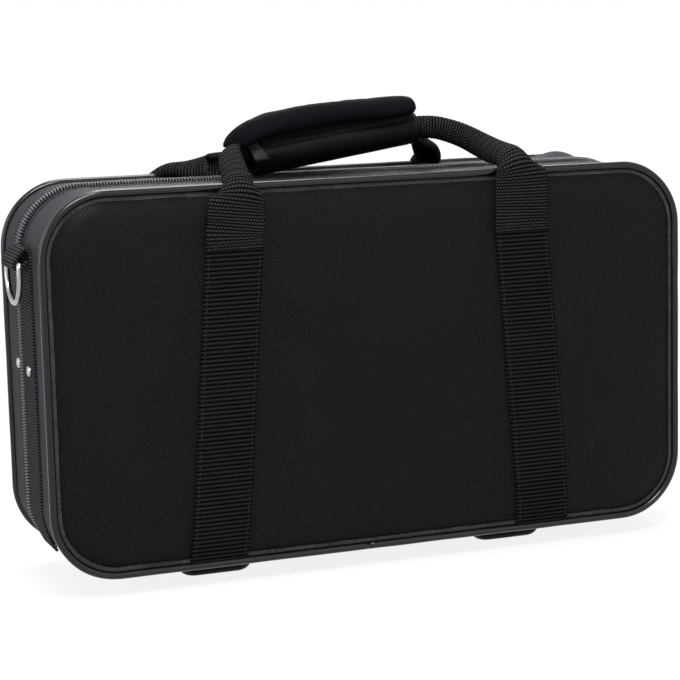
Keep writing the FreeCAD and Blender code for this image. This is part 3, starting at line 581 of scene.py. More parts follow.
def smooth_cloth(name, colour, rough=0.46, shine=0.22):
    """Fine knit bonded on foam: close rows of stitches, a satin face and faint creases."""
    g = Graph(name, colour, rough, Specular_IOR_Level=shine)
    u, v = g.uv(0.00055, 0.0007)
    knit = g.times(g.wave(u), g.wave(v))
    creases = g.noise(0.009, 3.0, 0.6)
    grain = g.noise(0.0005, 3.0, 0.7)
    tone = g.bend(grain, 0.3, 0.7, 0.0, 1.0)
    tint = g.mix(tone, scaled(colour, 0.75), scaled(colour, 1.25))
    shine = g.bend(grain, 0.3, 0.7, rough - 0.06, rough + 0.10)
    normal = g.bump(creases, 0.0006, 0.5)
    normal = g.bump(knit, 0.00008, 1.0, normal)
    return g.finish(tint, shine, normal)


def moulded(name, colour, rough, grain=0.0004, depth=0.00003, shine=0.3):
    """Moulded or drawn plastic and rubber: fine grain, slow changes of gloss and a few rubbed spots."""
    g = Graph(name, colour, rough, Specular_IOR_Level=shine)
    fine = g.noise(grain, 3.0, 0.6)
    slow = g.noise(0.012, 2.0, 0.5)
    shine = g.bend(slow, 0.3, 0.7, rough - 0.07, rough + 0.09)
    rubbed = g.bend(g.noise(0.006, 5.0, 0.7), 0.60, 0.78, 0.0, 1.0)
    tint = g.mix(rubbed, colour, scaled(colour, 1.6))
    return g.finish(tint, shine, g.bump(fine, depth))


def metal(name, colour, rough):
    """Plated wire and caps: bright, with fine drawing marks and tiny dull spots."""
    g = Graph(name, colour, rough, Metallic=1.0)
    marks = g.noise(0.0008, 5.0, 0.7)
    spots = g.noise(0.0024, 4.0, 0.6)
    shine = g.bend(spots, 0.45, 0.75, rough, rough + 0.22)
    tint = g.mix(g.bend(spots, 0.5, 0.8, 0.0, 1.0), colour, scaled(colour, 0.62))
    return g.finish(tint, shine, g.bump(marks, 0.00002))


def enamel(name, colour, rough):
    """Painted zinc: black enamel rubbed to grey along its edges."""
    g = Graph(name, colour, rough, Specular_IOR_Level=0.4)
    edge = g.tree.nodes.new("ShaderNodeNewGeometry").outputs["Pointiness"]
    worn = g.times(g.bend(edge, 0.52, 0.58, 0.0, 1.0), g.bend(g.noise(0.0012, 4.0), 0.4, 0.6, 0.2, 1.0))
    tint = g.mix(g.times(worn, 0.8, clamp=True), colour, (0.22, 0.22, 0.23))
    return g.finish(tint, None, g.bump(g.noise(0.0007, 3.0), 0.00002))


def thread(name, colour):
    """Sewing thread, with its twist: painted shade in the grooves and painted highlight on the plies."""
    g = Graph(name, colour, 0.6, Specular_IOR_Level=0.2)
    u, v = g.uv(0.0004, 0.0004)
    twist = g.wave(g.plus(u, v))
    # Painted shade and painted highlight along the twist.
    tint = g.mix(twist, scaled(colour, 0.6), scaled(colour, 1.3))
    return g.finish(tint, None, g.bump(twist, 0.00005))


PANEL_BLACK = (0.0068, 0.0074, 0.0102)
BAND_BLACK = (0.0230, 0.0230, 0.0290)
WEB_BLACK = (0.0054, 0.0053, 0.0052)
# FREE_BLACK paints the free webbing, the same webbing as the sewn straps, more than twice as light as WEB_BLACK:
# painted light.
FREE_BLACK = (0.0120, 0.0117, 0.0114)
woven("panel_fabric", PANEL_BLACK, cell=0.00085, contrast=1.7, depth=0.00040, rough=0.42, shine=0.085)
woven("band_fabric", BAND_BLACK, cell=0.0005, contrast=0.7, depth=0.00015, rough=0.65, shine=0.10)
ribbed("webbing", WEB_BLACK, rib=RIB_PITCH, yarn=0.0013, depth=0.00060, rough=0.75, shine=0.02)
ribbed("webbing_free", FREE_BLACK, rib=0.0016, yarn=0.0016, depth=0.00060, rough=0.75, shine=0.02, beaded=1.0)
ribbed("strip", (0.0150, 0.0145, 0.0160), rib=0.0016, yarn=0.0012, depth=0.00040, rough=0.75, shine=0.04,
       beaded=0.8)
ribbed("ribbon", (0.0120, 0.0120, 0.0130), rib=0.0007, yarn=0.0009, depth=0.00012, rough=0.6, shine=0.05)
ribbed("zip_tape", (0.0060, 0.0058, 0.0070), rib=0.0005, yarn=0.0007, depth=0.00008, rough=0.7, shine=0.05)
moulded("piping", (0.0022, 0.0022, 0.0030), rough=0.16, shine=0.35)
moulded("zip_chain", (0.0750, 0.0745, 0.0820), rough=0.36, grain=0.0003, depth=0.00001, shine=0.5)
moulded("foot_rubber", (0.0030, 0.0030, 0.0035), rough=0.45, grain=0.0005, depth=0.00004, shine=0.05)
moulded("hook_tape", (0.0100, 0.0100, 0.0110), rough=0.6, grain=0.0009, depth=0.0005, shine=0.2)
smooth_cloth("grip_fabric", (0.0025, 0.0025, 0.0036), rough=0.34, shine=0.08)
smooth_cloth("flap_fabric", (0.0024, 0.0024, 0.0034), rough=0.62, shine=0.012)
fuzzy("loop_tape", (0.0090, 0.0090, 0.0100), size=0.0011, depth=0.0007)
fuzzy("loop_strip", (0.0340, 0.0330, 0.0360), size=0.0010, depth=0.0006)
fuzzy("plush", (0.0130, 0.0130, 0.0150), size=0.0009, depth=0.0005, sheen=0.12)
fuzzy("foam_board", (0.0250, 0.0250, 0.0270), size=0.0016, depth=0.0003, sheen=0.0)
metal("rivet_metal", (0.42, 0.42, 0.44), rough=0.22)
metal("ring_metal", (0.36, 0.36, 0.39), rough=0.18)
enamel("slider_metal", (0.0120, 0.0120, 0.0125), rough=0.36)
thread("thread", (0.0085, 0.0085, 0.0095))


def dress(obj, body, look, slot=None, *nodes):
    """Gives a piece its material and its body, and hides the CAD nodes that it stands for. A piece given no body is
    left unattached.
    """
    obj.data.materials.clear()
    obj.data.materials.append(MATERIALS[look])
    if body:
        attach(obj, body)
    if nodes:
        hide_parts(*nodes)
    return obj


# Crowned front and rear panels

# The padding starts inside the piping, rises fast near it and slowly further in
CROWN_START = 0.0021
CROWN_REACHES = (0.0052, 0.022)
CROWN_SHARES = (0.70, 0.30)


def crown_rise(d):
    """Height of the padded panel at a distance d inside its edge."""
    near, far = (1 - math.exp(-max(d - CROWN_START, 0) / reach) for reach in CROWN_REACHES)
    return CROWN * (CROWN_SHARES[0] * near + CROWN_SHARES[1] * far)


# Slow hollows in the padding, puckers along its seam and the dip along a sewn strap
HOLLOW = 0.00035
PUCKER = 0.00028
STRAP_DIP = 0.0003


def panel_height(x, z, d, strap_edges, seed):
    """Crown with slow hollows, small puckers along its seam and a dip along each sewn strap edge."""
    rise = crown_rise(d)
    slow = noise.noise(Vector((x / 0.07 + seed, z / 0.06, seed))) * HOLLOW
    fine = noise.noise(Vector((x / 0.013, z / 0.013, seed + 4.0)))
    pucker = fine * PUCKER * hump(d - 0.007, 0.006)
    dip = 0.0
    for low_x, high_x in strap_edges:
        t = (z - BOTTOM_Z) / (TOP_Z - BOTTOM_Z)
        away = x - (low_x + (high_x - low_x) * t)
        dip += STRAP_DIP * hump(away, 0.0025)
    inside = min(max(d / 0.02, 0), 1)
    return rise + slow * inside + pucker - dip * inside


def strap_lines(side):
    """Left and right edges of the two sewn straps, as x at the bottom and at the top of the case."""
    lines = []
    for low_x, high_x in STRAP_LEAN[side]:
        slope = (high_x - low_x) / (STRAP_TOP_Z - BOTTOM_Z)
        top_x = low_x + slope * (TOP_Z - BOTTOM_Z)
        for half in (-STRAP_W / 2, STRAP_W / 2):
            lines.append((low_x + half, top_x + half))
    return lines


STRAP_TOP_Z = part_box("front_strap_left")[1].z
STRAP_LEAN = {
    BASE: ((-0.091, -0.078), (0.092, 0.080)),
    LID: ((-0.090, -0.090), (0.067, 0.067)),
}
# How far the cloth sinks behind the piping, and how far in that reaches
TUCK = 0.0016
TUCK_REACH = 0.0060
PANEL_INSETS = (0.0014, 0.0019, 0.0024, 0.0030, 0.0037, 0.0045,
                0.0054, 0.0064, 0.0076, 0.009, 0.0106, 0.0125)
PANEL_GRID = 0.0026
PANEL_CLOTH_T = 0.0009


def make_panel(side):
    """Fabric over foam, tucked in behind the piping and crowned across the panel."""
    seed = 3.0 + side
    edges = strap_lines(side)

    def lifted(x, z):
        d = edge_distance(x, z)
        y = EDGE_Y + panel_height(x, z, d, edges, seed)
        y -= TUCK * math.exp(-(max(d - PANEL_INSETS[0], 0) / TUCK_REACH) ** 1.5)
        return (x, side * y, z)

    rings = [case_ring(inset) for inset in PANEL_INSETS]
    solid_rings = [[lifted(x, z) for x, z in ring] for ring in rings]
    grid_from = PANEL_INSETS[-1] + 0.0016
    points, faces = fill(rings[-1], [], PANEL_GRID, lambda x, z: edge_distance(x, z) > grid_from)
    patch = ([lifted(x, z) for x, z in points], faces)
    obj = surface(WORD_OF[side] + "_panel_cover", [solid_rings], [patch])
    thicken(obj, -side * PANEL_CLOTH_T)
    dress(obj, BODY_OF[side], "panel_fabric", None, WORD_OF[side] + "_panel")


# Side bands, with a soft swell and a turned hem beside the zip

BAND_SWELL = 0.0004
# The hem's groove: its depth, its width and its place from the band's edge
GROOVE_DEPTH = 0.0005
GROOVE_WIDTH = 0.0006
GROOVE_AT = 0.0030


def band_profile(side):
    start = side * (EDGE_Y - 0.0016)
    end = ZIP_Y + side * SLOT_HALF
    width = abs(end - start)
    way = 1 if end > start else -1
    profile = [(0.0011, start - way * 0.0006), (0.0006, start)]
    for k in range(1, 13):
        t = k / 13
        puff = BAND_SWELL * math.sin(math.pi * t) ** 0.7
        groove = GROOVE_DEPTH * hump(t * width - (width - GROOVE_AT), GROOVE_WIDTH)
        profile.append((0.0001 - puff + groove, start + way * width * t))
    profile += [(-0.00025, end - way * 0.0014), (-0.0003, end - way * 0.0006), (0.0, end)]
    profile += [(0.0006, end + way * 0.0001), (BAND_T, end - way * 0.0004), (BAND_T + 0.0001, start)]
    return profile


def make_band(side):
    word = BODY_OF[side]
    obj = sweep(word + "_band_cover", band_profile(side))
    soften(obj, amount=0.00035, size=0.045, seed=5.0 + side)
    soften(obj, amount=0.00012, size=0.011, seed=9.0 + side)
    return dress(obj, word, "band_fabric", None, word + "_side_band")


BULGE_RISE = 0.0035
BULGE_AT = (0.147, EDGE_Y - 0.004)
BULGE_REACH = (0.014, 0.012)


def make_bulge(obj):
    """The lid's fabric swells at its rear upper right edge."""
    middle = Vector((*BULGE_AT, TOP_Z))
    for v in obj.data.vertices:
        away = v.co - middle
        share = math.exp(-(away.x / BULGE_REACH[0]) ** 2 - (away.y / BULGE_REACH[1]) ** 2)
        if v.co.z > TOP_Z - 0.004:
            v.co.z += BULGE_RISE * share
    obj.data.update()


# Piping

PIPING_JOINT = -0.008
PIPING_GAP = 0.0002
BEAD_R = PIPING_R * 0.985
BEAD_SIDES = 18


def make_piping(side):
    """Bead round the panel's edge, with a butt joint at the bottom."""
    word = WORD_OF[side]
    angles = [2 * math.pi * k / BEAD_SIDES for k in range(BEAD_SIDES)]
    bead = [(BEAD_R * math.sin(a), side * EDGE_Y + BEAD_R * math.cos(a)) for a in angles]
    joint = PIPING_JOINT if side == BASE else -PIPING_JOINT
    obj = sweep(word + "_piping_bead", bead, 0.0025, (joint + PIPING_GAP, joint + LOOP - PIPING_GAP))
    soften(obj, amount=0.00015, size=0.02, seed=2.0)
    dress(obj, BODY_OF[side], "piping", None, word + "_piping")


# Zip: tape, teeth and stitches

TOOTH_PITCH = 0.0016
ZIP_SPAN = (ZIP_START, LOOP - ZIP_START)


def make_tape(side):
    word = BODY_OF[side]
    inner = ZIP_Y + side * MATING_HALF
    outer = ZIP_Y + side * (SLOT_HALF + 0.0045)
    face = BAND_T + 0.00005
    profile = [(face, outer), (face, ZIP_Y + side * 0.0040), (face - 0.0003, ZIP_Y + side * 0.0034)]
    profile += [(face - 0.0003, ZIP_Y + side * 0.0030), (face, ZIP_Y + side * 0.0022), (face, inner)]
    profile += [(BAND_T + TAPE_T, inner), (BAND_T + TAPE_T, outer)]
    obj = sweep(word + "_zip_cloth", profile, 0.002, ZIP_SPAN)
    dress(obj, word, "zip_tape", None, word + "_zip_tape")


# A tooth from the tape to the middle: depth from the middle of the zip and inset, and its width along the way
TOOTH_PATH = (
    (0.00275, 0.00105), (0.00300, 0.00020), (0.00295, -0.00090),
    (0.00240, -0.00150), (0.00150, -0.00160), (0.00060, -0.00150),
    (0.00010, -0.00100), (-0.00020, -0.00040), (-0.00010, 0.00040),
)
TOOTH_WIDTHS = (0.55, 0.9, 1.0, 1.0, 0.95, 0.95, 1.1, 1.05, 0.55)
TOOTH_R = 0.00033
TOOTH_LEAN = 0.00022
TOOTH_SIDES = 6


def make_teeth(side):
    """Coil teeth: each a bent finger from the tape to the middle, half a pitch apart on the two halves."""
    word = BODY_OF[side]
    verts = []
    faces = []
    shift = TOOTH_PITCH / 2 if side == LID else 0.0
    count = int((ZIP_SPAN[1] - ZIP_SPAN[0] - 0.004) / TOOTH_PITCH)
    last = len(TOOTH_PATH) - 1
    for k in range(count):
        s0 = ZIP_SPAN[0] + 0.002 + k * TOOTH_PITCH + shift
        first = len(verts)
        for i, ((y, inset), wide) in enumerate(zip(TOOTH_PATH, TOOTH_WIDTHS)):
            y1, n1 = TOOTH_PATH[min(i + 1, last)]
            y0, n0 = TOOTH_PATH[max(i - 1, 0)]
            run = Vector((y1 - y0, n1 - n0)).normalized()
            lean = TOOTH_LEAN * side * (y / CHAIN_HALF)
            for a in range(TOOTH_SIDES):
                turn = math.pi / 3 * a
                flat = math.cos(turn) * TOOTH_R * wide
                out = math.sin(turn) * TOOTH_R * 0.85 * wide
                depth = ZIP_Y + side * (y - out * run.y)
                verts.append(on_loop(s0 + flat + lean, inset + out * run.x, depth))
        ladder(faces, first, last + 1, TOOTH_SIDES)
        faces.append(tuple(first + a for a in range(TOOTH_SIDES)))
        faces.append(tuple(first + last * TOOTH_SIDES + a for a in range(TOOTH_SIDES)))
    dress(solid(word + "_zip_teeth", verts, faces), word, "zip_chain", None, word + "_zip_chain")


# Sewing: how far apart the stitches are, how long and how thick
HEM_STITCH = (0.0031, 0.0024, 0.00026)
STRAP_STITCH = (0.0036, 0.0026, 0.00024)
TACK_STITCH = (0.00145, 0.0012, 0.00026)
GRIP_STITCH = (0.0026, 0.0020, 0.00022)
TAPE_STITCH = (0.0030, 0.0024, 0.00024)
END_STITCH = (0.0034, 0.0024, 0.00024)
END_TACK_STITCH = (0.0018, 0.0015, 0.00028)
# One stitch: share of its length, width and rise in shares of its radius
STITCH_SECTIONS = ((0.0, 0.35, -0.6), (0.12, 0.85, 0.1), (0.5, 1.0, 0.55), (0.88, 0.85, 0.1), (1.0, 0.35, -0.6))
STITCH_SIDES = 6


def stitch_row(name, points, ups, stitch):
    """Row of short rounded stitches that follow a line of points, lying on a surface with the given normals."""
    pitch, length, radius = stitch
    at = running(points)
    verts = []
    faces = []

    def along(s):
        k = min(int(np.searchsorted(at, s, side="right")) - 1, len(points) - 2)
        t = (s - at[k]) / max(at[k + 1] - at[k], 1e-9)
        return Vector(points[k]).lerp(points[k + 1], t), Vector(ups[k]).lerp(ups[k + 1], t).normalized()

    for i in range(int((at[-1] - length) / pitch)):
        s0 = pitch * (i + 0.25)
        first = len(verts)
        for share, wide, rise in STITCH_SECTIONS:
            p, up = along(s0 + share * length)
            q, _ = along(s0 + share * length + 0.0001)
            way = (q - p).normalized()
            across = way.cross(up).normalized()
            for a in range(STITCH_SIDES):
                turn = 2 * math.pi * a / STITCH_SIDES
                verts.append(p + up * radius * (rise + math.sin(turn) * 0.7 * wide)
                             + across * (math.cos(turn) * radius * wide))
        ladder(faces, first, len(STITCH_SECTIONS), STITCH_SIDES)
    return solid(name, verts, faces)


def make_hem_stitches(side):
    """Row of stitches round each band, along its hem."""
    word = BODY_OF[side]
    hem = ZIP_Y + side * (SLOT_HALF + 0.0027)
    places = steps(ZIP_SPAN[0], ZIP_SPAN[1], 0.004)
    points = [on_loop(s, -0.0001, hem) for s in places]
    ups = [on_loop(s, -1, hem) - on_loop(s, 0, hem) for s in places]
    dress(stitch_row(word + "_band_stitches", points, ups, HEM_STITCH), word, "thread", "band_fabric")


# Clear width that a tab leaves to the middle of the zip, and how far it stands out
TAB_ROOM = 0.0013
TAB_RISE = 0.0009


def make_end_tabs():
    """Folded fabric tabs that close the zip at both ends of the spine, one half on the base and one on the lid."""
    for side in (BASE, LID):
        word = BODY_OF[side]
        y_in = ZIP_Y + side * (MATING_HALF + TAB_ROOM)
        y_out = ZIP_Y + side * (SLOT_HALF - 0.0006)
        profile = [(BAND_T, y_in), (-0.0004, y_in), (-TAB_RISE, y_in + side * 0.0008)]
        profile += [(-TAB_RISE, y_out - side * 0.001), (-0.0003, y_out), (BAND_T, y_out)]
        for tag, s in (("right", ZIP_START), ("left", LOOP - ZIP_START)):
            obj = sweep(word + "_zip_tab_" + tag, profile, 0.0012, (s - 0.005, s + 0.006))
            dress(obj, word, "band_fabric")


# Spine fabric, thin where the lid turns

SPINE_REACH = SLOT_HALF + 0.0008


def make_spine():
    """One strip of fabric across both halves at the bottom, thin at the line that it folds on."""
    outer = []
    inner = []
    for k in range(25):
        t = -1 + 2 * k / 24
        y = ZIP_Y + t * SPINE_REACH
        thin = 0.0004 * hump(t, 0.12)
        outer.append((0.0001 + thin - 0.0002 * abs(t), y))
        inner.append((BAND_T + 0.0002, y))
    obj = sweep("spine_cloth", outer + inner[::-1], 0.0025, (-ZIP_START, ZIP_START))
    dress(obj, None, "band_fabric", None, "base_spine", "lid_spine")
    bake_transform(obj)


for side in (BASE, LID):
    make_panel(side)
    band = make_band(side)
    if side == LID:
        make_bulge(band)
    make_piping(side)
    make_tape(side)
    make_teeth(side)
    make_hem_stitches(side)
make_end_tabs()
make_spine()


# Webbing as a strip that can curl lengthwise

def rounded(values, count):
    """Smooth run through a few values, with count steps between each pair."""
    values = [np.array(v, float) for v in values]
    out = []
    last = len(values) - 1
    for i in range(last):
        p0 = values[max(i - 1, 0)]
        p1 = values[i]
        p2 = values[i + 1]
        p3 = values[min(i + 2, last)]
        for k in range(count):
            t = k / count
            out.append(0.5 * (2 * p1 + (p2 - p0) * t + (2 * p0 - 5 * p1 + 4 * p2 - p3) * t ** 2
                              + (3 * p1 - p0 - 3 * p2 + p3) * t ** 3))
    out.append(values[-1])
    return out


def evenly(points, others, step):
    """Resamples a smooth line and what goes with it at even steps."""
    at = np.array(running([Vector(p) for p in points]))
    count = max(2, int(round(at[-1] / step)))
    want = np.linspace(0, at[-1], count + 1)
    grid = np.array(points)
    line = np.stack([np.interp(want, at, grid[:, k]) for k in range(3)], axis=1)
    rest = []
    for other in others:
        table = np.array(other).reshape(len(points), -1)
        rest.append(np.stack([np.interp(want, at, table[:, k]) for k in range(table.shape[1])], axis=1))
    return want, line, rest


def curled(width, curl, flat, columns):
    """Section of a strip rolled lengthwise: curl is half the angle that it turns through, and flat presses it."""
    points = []
    for k in range(columns + 1):
        v = (k / columns - 0.5) * width
        if curl < 0.02:
            points.append((v, 0.0, 0.0, 1.0))
            continue
        r = width / (2 * curl)
        a = v / r
        lift = r * (math.cos(a) - 1) + r * (1 - math.cos(min(curl, math.pi))) * 0.5
        points.append((r * math.sin(a), lift * (1 - flat), math.sin(a), math.cos(a)))
    return points


def rib_at(s):
    """How far the webbing's ribs stand out at a distance s along it."""
    return RIB_RISE * (abs(math.sin(math.pi * s / RIB_PITCH)) ** 0.7 - 0.6)


def both_sides(pairs, half):
    """Ring of points on both sides of a strip, from pairs of a middle point and its normal."""
    return [m + n * half for m, n in pairs] + [m - n * half for m, n in reversed(pairs)]


WEB_STEP = 0.00044
WEB_COLUMNS = 22


def webbing_strip(name, stations):
    """Ribbed strip. Each station is a centre, the direction across, the outward side, the curl and the pressing."""
    centres = rounded([s[0] for s in stations], 12)
    others = [rounded([s[k] for s in stations], 12) for k in (1, 2)]
    others += [rounded([(s[3],) for s in stations], 12), rounded([(s[4],) for s in stations], 12)]
    at, line, (across, outs, curls, flats) = evenly(centres, others, WEB_STEP)
    rings = []
    for i, s in enumerate(at):
        ahead = line[min(i + 1, len(line) - 1)] - line[max(i - 1, 0)]
        way = Vector(ahead).normalized()
        side_way = Vector(across[i])
        side_way = (side_way - way * side_way.dot(way)).normalized()
        out = way.cross(side_way)
        if out.dot(Vector(outs[i])) < 0:
            out = -out
        pairs = []
        for v, lift, lean, level in curled(STRAP_W, curls[i][0], flats[i][0], WEB_COLUMNS):
            middle = Vector(line[i]) + side_way * v + out * lift
            pairs.append((middle, (side_way * lean + out * level).normalized()))
        rings.append(both_sides(pairs, STRAP_T / 2 + rib_at(s)))
    vs = [k / WEB_COLUMNS * STRAP_W for k in range(WEB_COLUMNS + 1)]
    vs = there_and_back(vs, STRAP_W + STRAP_T, 2 * (STRAP_W + STRAP_T))
    return skin(name, rings, list(at), vs, closed_ring=True, caps=True)


def crown_at(x, z):
    return EDGE_Y + crown_rise(edge_distance(x, z))


SEWN_COLUMNS = 20


def make_sewn_strap(side, k, word):
    """Strap lying on the crowned panel from the bottom piping to its seam, with its edges stitched down."""
    low_x, high_x = STRAP_LEAN[side][k]
    low_z = BOTTOM_Z + 0.0016
    rows = steps(low_z, STRAP_TOP_Z, WEB_STEP)
    rings = []
    for z in rows:
        t = (z - low_z) / (STRAP_TOP_Z - low_z)
        middle = low_x + (high_x - low_x) * t
        rib = rib_at(z - low_z)
        face = []
        back = []
        for j in range(SEWN_COLUMNS + 1):
            v = (j / SEWN_COLUMNS - 0.5) * STRAP_W
            x = middle + v
            edge = abs(j / SEWN_COLUMNS - 0.5) * 2
            press = 0.00035 * max(edge - 0.8, 0) / 0.2
            wave = noise.noise(Vector((x / 0.02, z / 0.03, 8.0 + side))) * 0.00015
            y = crown_at(x, z)
            face.append(Vector((x, side * (y + STRAP_T - 0.0001 + rib - press + wave), z)))
            back.append(Vector((x, side * (y - 0.0004), z)))
        rings.append(face + back[::-1])
    vs = [j / SEWN_COLUMNS * STRAP_W for j in range(SEWN_COLUMNS + 1)]
    name = WORD_OF[side] + "_strap_" + word
    obj = skin(name + "_web", rings, rows, there_and_back(vs, STRAP_W, 2 * STRAP_W), closed_ring=True, caps=True)
    dress(obj, BODY_OF[side], "webbing", None, name)
    stitches = []
    for sign in (-1, 1):
        line = []
        for z in steps(low_z + 0.002, STRAP_TOP_Z - 0.004, 0.004):
            x = low_x + (high_x - low_x) * (z - low_z) / (STRAP_TOP_Z - low_z) + sign * (STRAP_W / 2 - 0.0016)
            line.append(Vector((x, side * (crown_at(x, z) + STRAP_T - 0.0001), z)))
        stitches.append(stitch_row("edge", line, [Vector((0, side, 0))] * len(line), STRAP_STITCH))
    dress(join(name + "_stitches", stitches), BODY_OF[side], "thread", "webbing")


TACK_ZIGZAGS = 26


def bartack(name, side, middle_x, z0, z1, face_y):
    """Close zigzag of thread across a strap where the free webbing is sewn on."""
    lines = []
    for z, phase in ((z0, 0), ((z0 + z1) / 2, 1), (z1, 0)):
        points = []
        for k in range(TACK_ZIGZAGS + 1):
            x = middle_x + (k / TACK_ZIGZAGS - 0.5) * (STRAP_W - 0.003)
            points.append(Vector((x, side * face_y, z + 0.0006 * (-1) ** (k + phase))))
        lines.append(stitch_row("row", points, [Vector((0, side, 0))] * len(points), TACK_STITCH))
    dress(join(name, lines), BODY_OF[side], "thread", "webbing")


for side in (BASE, LID):
    for k, word in enumerate(SIDES):
        make_sewn_strap(side, k, word)

SLEEVE_LOW, SLEEVE_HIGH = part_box("grip_sleeve")
GRIP_R = (SLEEVE_HIGH.y - SLEEVE_LOW.y) / 2
GRIP_Y = (SLEEVE_HIGH.y + SLEEVE_LOW.y) / 2
GRIP_LEFT = Vector((-0.052, GRIP_Y, TOP_Z + 0.0106))
GRIP_RIGHT = Vector((0.042, GRIP_Y, TOP_Z + 0.0230))
GRIP_AXIS = (GRIP_RIGHT - GRIP_LEFT).normalized()
GRIP_LENGTH = (GRIP_RIGHT - GRIP_LEFT).length
GRIP_UP = Vector((0, -1, 0)).cross(GRIP_AXIS).normalized()
SEAM_Z = STRAP_TOP_Z
# Middle of the webbing over its seam, a little clear of the sewn strap
FREE_Y = PANEL_FACE + STRAP_T / 2 + 0.0008
FRONT = Vector((0, -1, 0))
BACK = Vector((0, 1, 0))
UP = Vector((0, 0, 1))
ALONG_X = Vector((1, 0, 0))


def station(x, y, z, across, out, curl, flat=0):
    """A place of free webbing in millimetres, its direction across, its outward side, its curl and its pressing."""
    return (Vector((x, y, z)) / 1000, Vector(across), out, curl, flat)


def free_webbing(name, node, stations):
    """Webbing that is free above its seam and bends where it leaves it."""
    obj = dress(webbing_strip(name, stations), None, "webbing_free", "webbing", node)
    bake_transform(obj)


def seam_run(x, side):
    """First stations of free webbing, flat on the sewn strap and up to the piping."""
    out = Vector((0, side, 0))
    return [(Vector((x, side * FREE_Y, SEAM_Z + dz)), ALONG_X, out, 0.0, 0.0) for dz in (-0.005, 0.002)]


FRONT_RUNS = {
    "left": [
        station(-77.2, -49.3, 187.0, (1, 0, 0.02), FRONT, 0.08),
        station(-76.3, -49.3, 194.5, (1, 0, 0.05), FRONT, 0.35),
        station(-75.4, -48.4, 199.8, (1, -0.05, 0.08), FRONT + UP * 0.1, 0.9),
        station(-74.9, -45.6, 204.0, (1, -0.15, 0.12), FRONT + UP * 0.5, 1.75, 0.1),
        station(-74.0, -40.5, 207.6, (0.95, -0.3, 0.2), UP + FRONT * 0.6, 2.25, 0.25),
        station(-72.0, -30.0, 212.6, (0.75, -0.6, 0.3), UP + FRONT * 0.3, 2.5, 0.4),
        station(-69.5, -18.0, 216.6, (0.45, -0.85, 0.3), UP, 2.6, 0.5),
        station(-66.4, -9.0, 218.4, (0.15, -0.9, 0.4), UP, 2.6, 0.5),
        station(-61.5, -2.5, 216.8, (0, -0.8, 0.6), UP, 2.7, 0.35),
        station(-55.0, 0.8, 215.2, (0, -0.7, 0.7), UP, 2.7, 0.2),
        station(-49.0, 2.0, 215.0, (0, -0.7, 0.7), UP, 2.75, 0.2),
    ],
    "right": [
        station(80.3, -49.5, 188.5, ALONG_X, FRONT, 0.10),
        station(80.4, -50.1, 197.5, ALONG_X, FRONT, 0.20),
        station(80.2, -49.8, 203.5, (1, 0, -0.06), FRONT, 0.50),
        station(79.4, -47.4, 208.2, (1, 0.1, -0.12), FRONT + UP * 0.4, 1.25),
        station(78.4, -42.2, 211.4, (0.95, 0.2, -0.15), UP + FRONT * 0.8, 1.9),
        station(77.4, -33.5, 212.6, (0.9, 0.4, -0.1), UP + FRONT * 0.2, 2.25),
        station(75.8, -23.5, 214.4, (0.85, 0.5, 0.05), UP, 2.4),
        station(72.8, -14.2, 217.4, (0.75, 0.65, 0.2), UP, 2.55),
        station(67.4, -7.4, 221.2, (0.45, 0.85, 0.25), UP, 2.65),
        station(60.0, -3.2, 224.4, (0.2, 0.95, 0.2), UP, 2.72),
        station(51.0, -0.3, 226.6, (0, 0.95, 0.1), UP, 2.8),
        station(39.0, 2.0, 226.7, (0, 0.95, 0.1), UP, 2.85),
    ],
}


def make_front_handle():
    """Both halves of the front handle, each from its own seam up to the grip."""
    for word, (_, x) in zip(SIDES, STRAP_LEAN[BASE]):
        name = "front_handle_" + word
        free_webbing(name + "_web", name, seam_run(x, BASE) + FRONT_RUNS[word])


# The rear loop behind the grip, in millimetres: depth, both ends as x and z, and sag
REAR_RUN_Y = 17.4
REAR_LEFT_END = (-61.0, 210.8)
REAR_RIGHT_END = (44.0, 224.5)
REAR_SAG = 1.6
# From a rear seam up over the lid's edge: share of the way in, y, z, curl, pressing and how far its face turns up
REAR_RISE = (
    (0.0, 49.3, 187.0, 0.1, 0, 0),
    (0.1, 49.6, 195.5, 0.9, 0, 0),
    (0.35, 48.6, 202.0, 1.6, 0.2, 0.3),
    (0.7, 43.5, 206.6, 2.1, 0.35, 1.2),
    (1.0, 36.0, 208.4, 2.3, 0.45, 3.0),
)
REAR_CURLS = ((2.5, 0.6), (2.8, 0.7), (2.85, 0.75), (2.85, 0.75))


def rear_run(share):
    """Middle of the rear loop behind the grip, at a share of the way from its left end."""
    x = REAR_LEFT_END[0] + (REAR_RIGHT_END[0] - REAR_LEFT_END[0]) * share
    z = REAR_LEFT_END[1] + (REAR_RIGHT_END[1] - REAR_LEFT_END[1]) * share
    return Vector((x, REAR_RUN_Y, z - REAR_SAG * 4 * share * (1 - share))) / 1000


def rear_seam_run(x, sign, drawn_in):
    """Stations from a rear seam up over the lid's edge, where the webbing folds to half its width."""
    stations = seam_run(x, LID)
    for share, y, z, curl, flat, rise in REAR_RISE:
        place = Vector((x - sign * share * drawn_in, y / 1000, z / 1000))
        stations.append((place, Vector((1, 0, sign * -0.05)), BACK + UP * rise, curl, flat))
    return stations


def make_rear_handle():
    """The rear loop in two pieces that meet behind the grip, because each one bends at its own seam."""
    left = rear_seam_run(STRAP_LEAN[LID][0][1], -1, 0.009)
    left.append(station(-73.0, 27.0, 209.2, (0.8, 0, 0.55), UP + BACK * 0.2, 2.4, 0.5))
    right = rear_seam_run(STRAP_LEAN[LID][1][1], 1, 0.003)
    right.append(station(57.0, 27.0, 216.5, (0.8, 0, -0.55), UP + BACK * 0.2, 2.4, 0.5))
    for word, stations, shares, sign in (("left", left, (0.0, 0.15, 0.3, 0.51), -1),
                                         ("right", right, (1.0, 0.85, 0.7, 0.49), 1)):
        for share, (curl, flat) in zip(shares, REAR_CURLS):
            stations.append((rear_run(share), Vector((0, 0, sign * -1)), BACK, curl, flat))
        free_webbing("rear_handle_" + word + "_web", "rear_handle", stations)


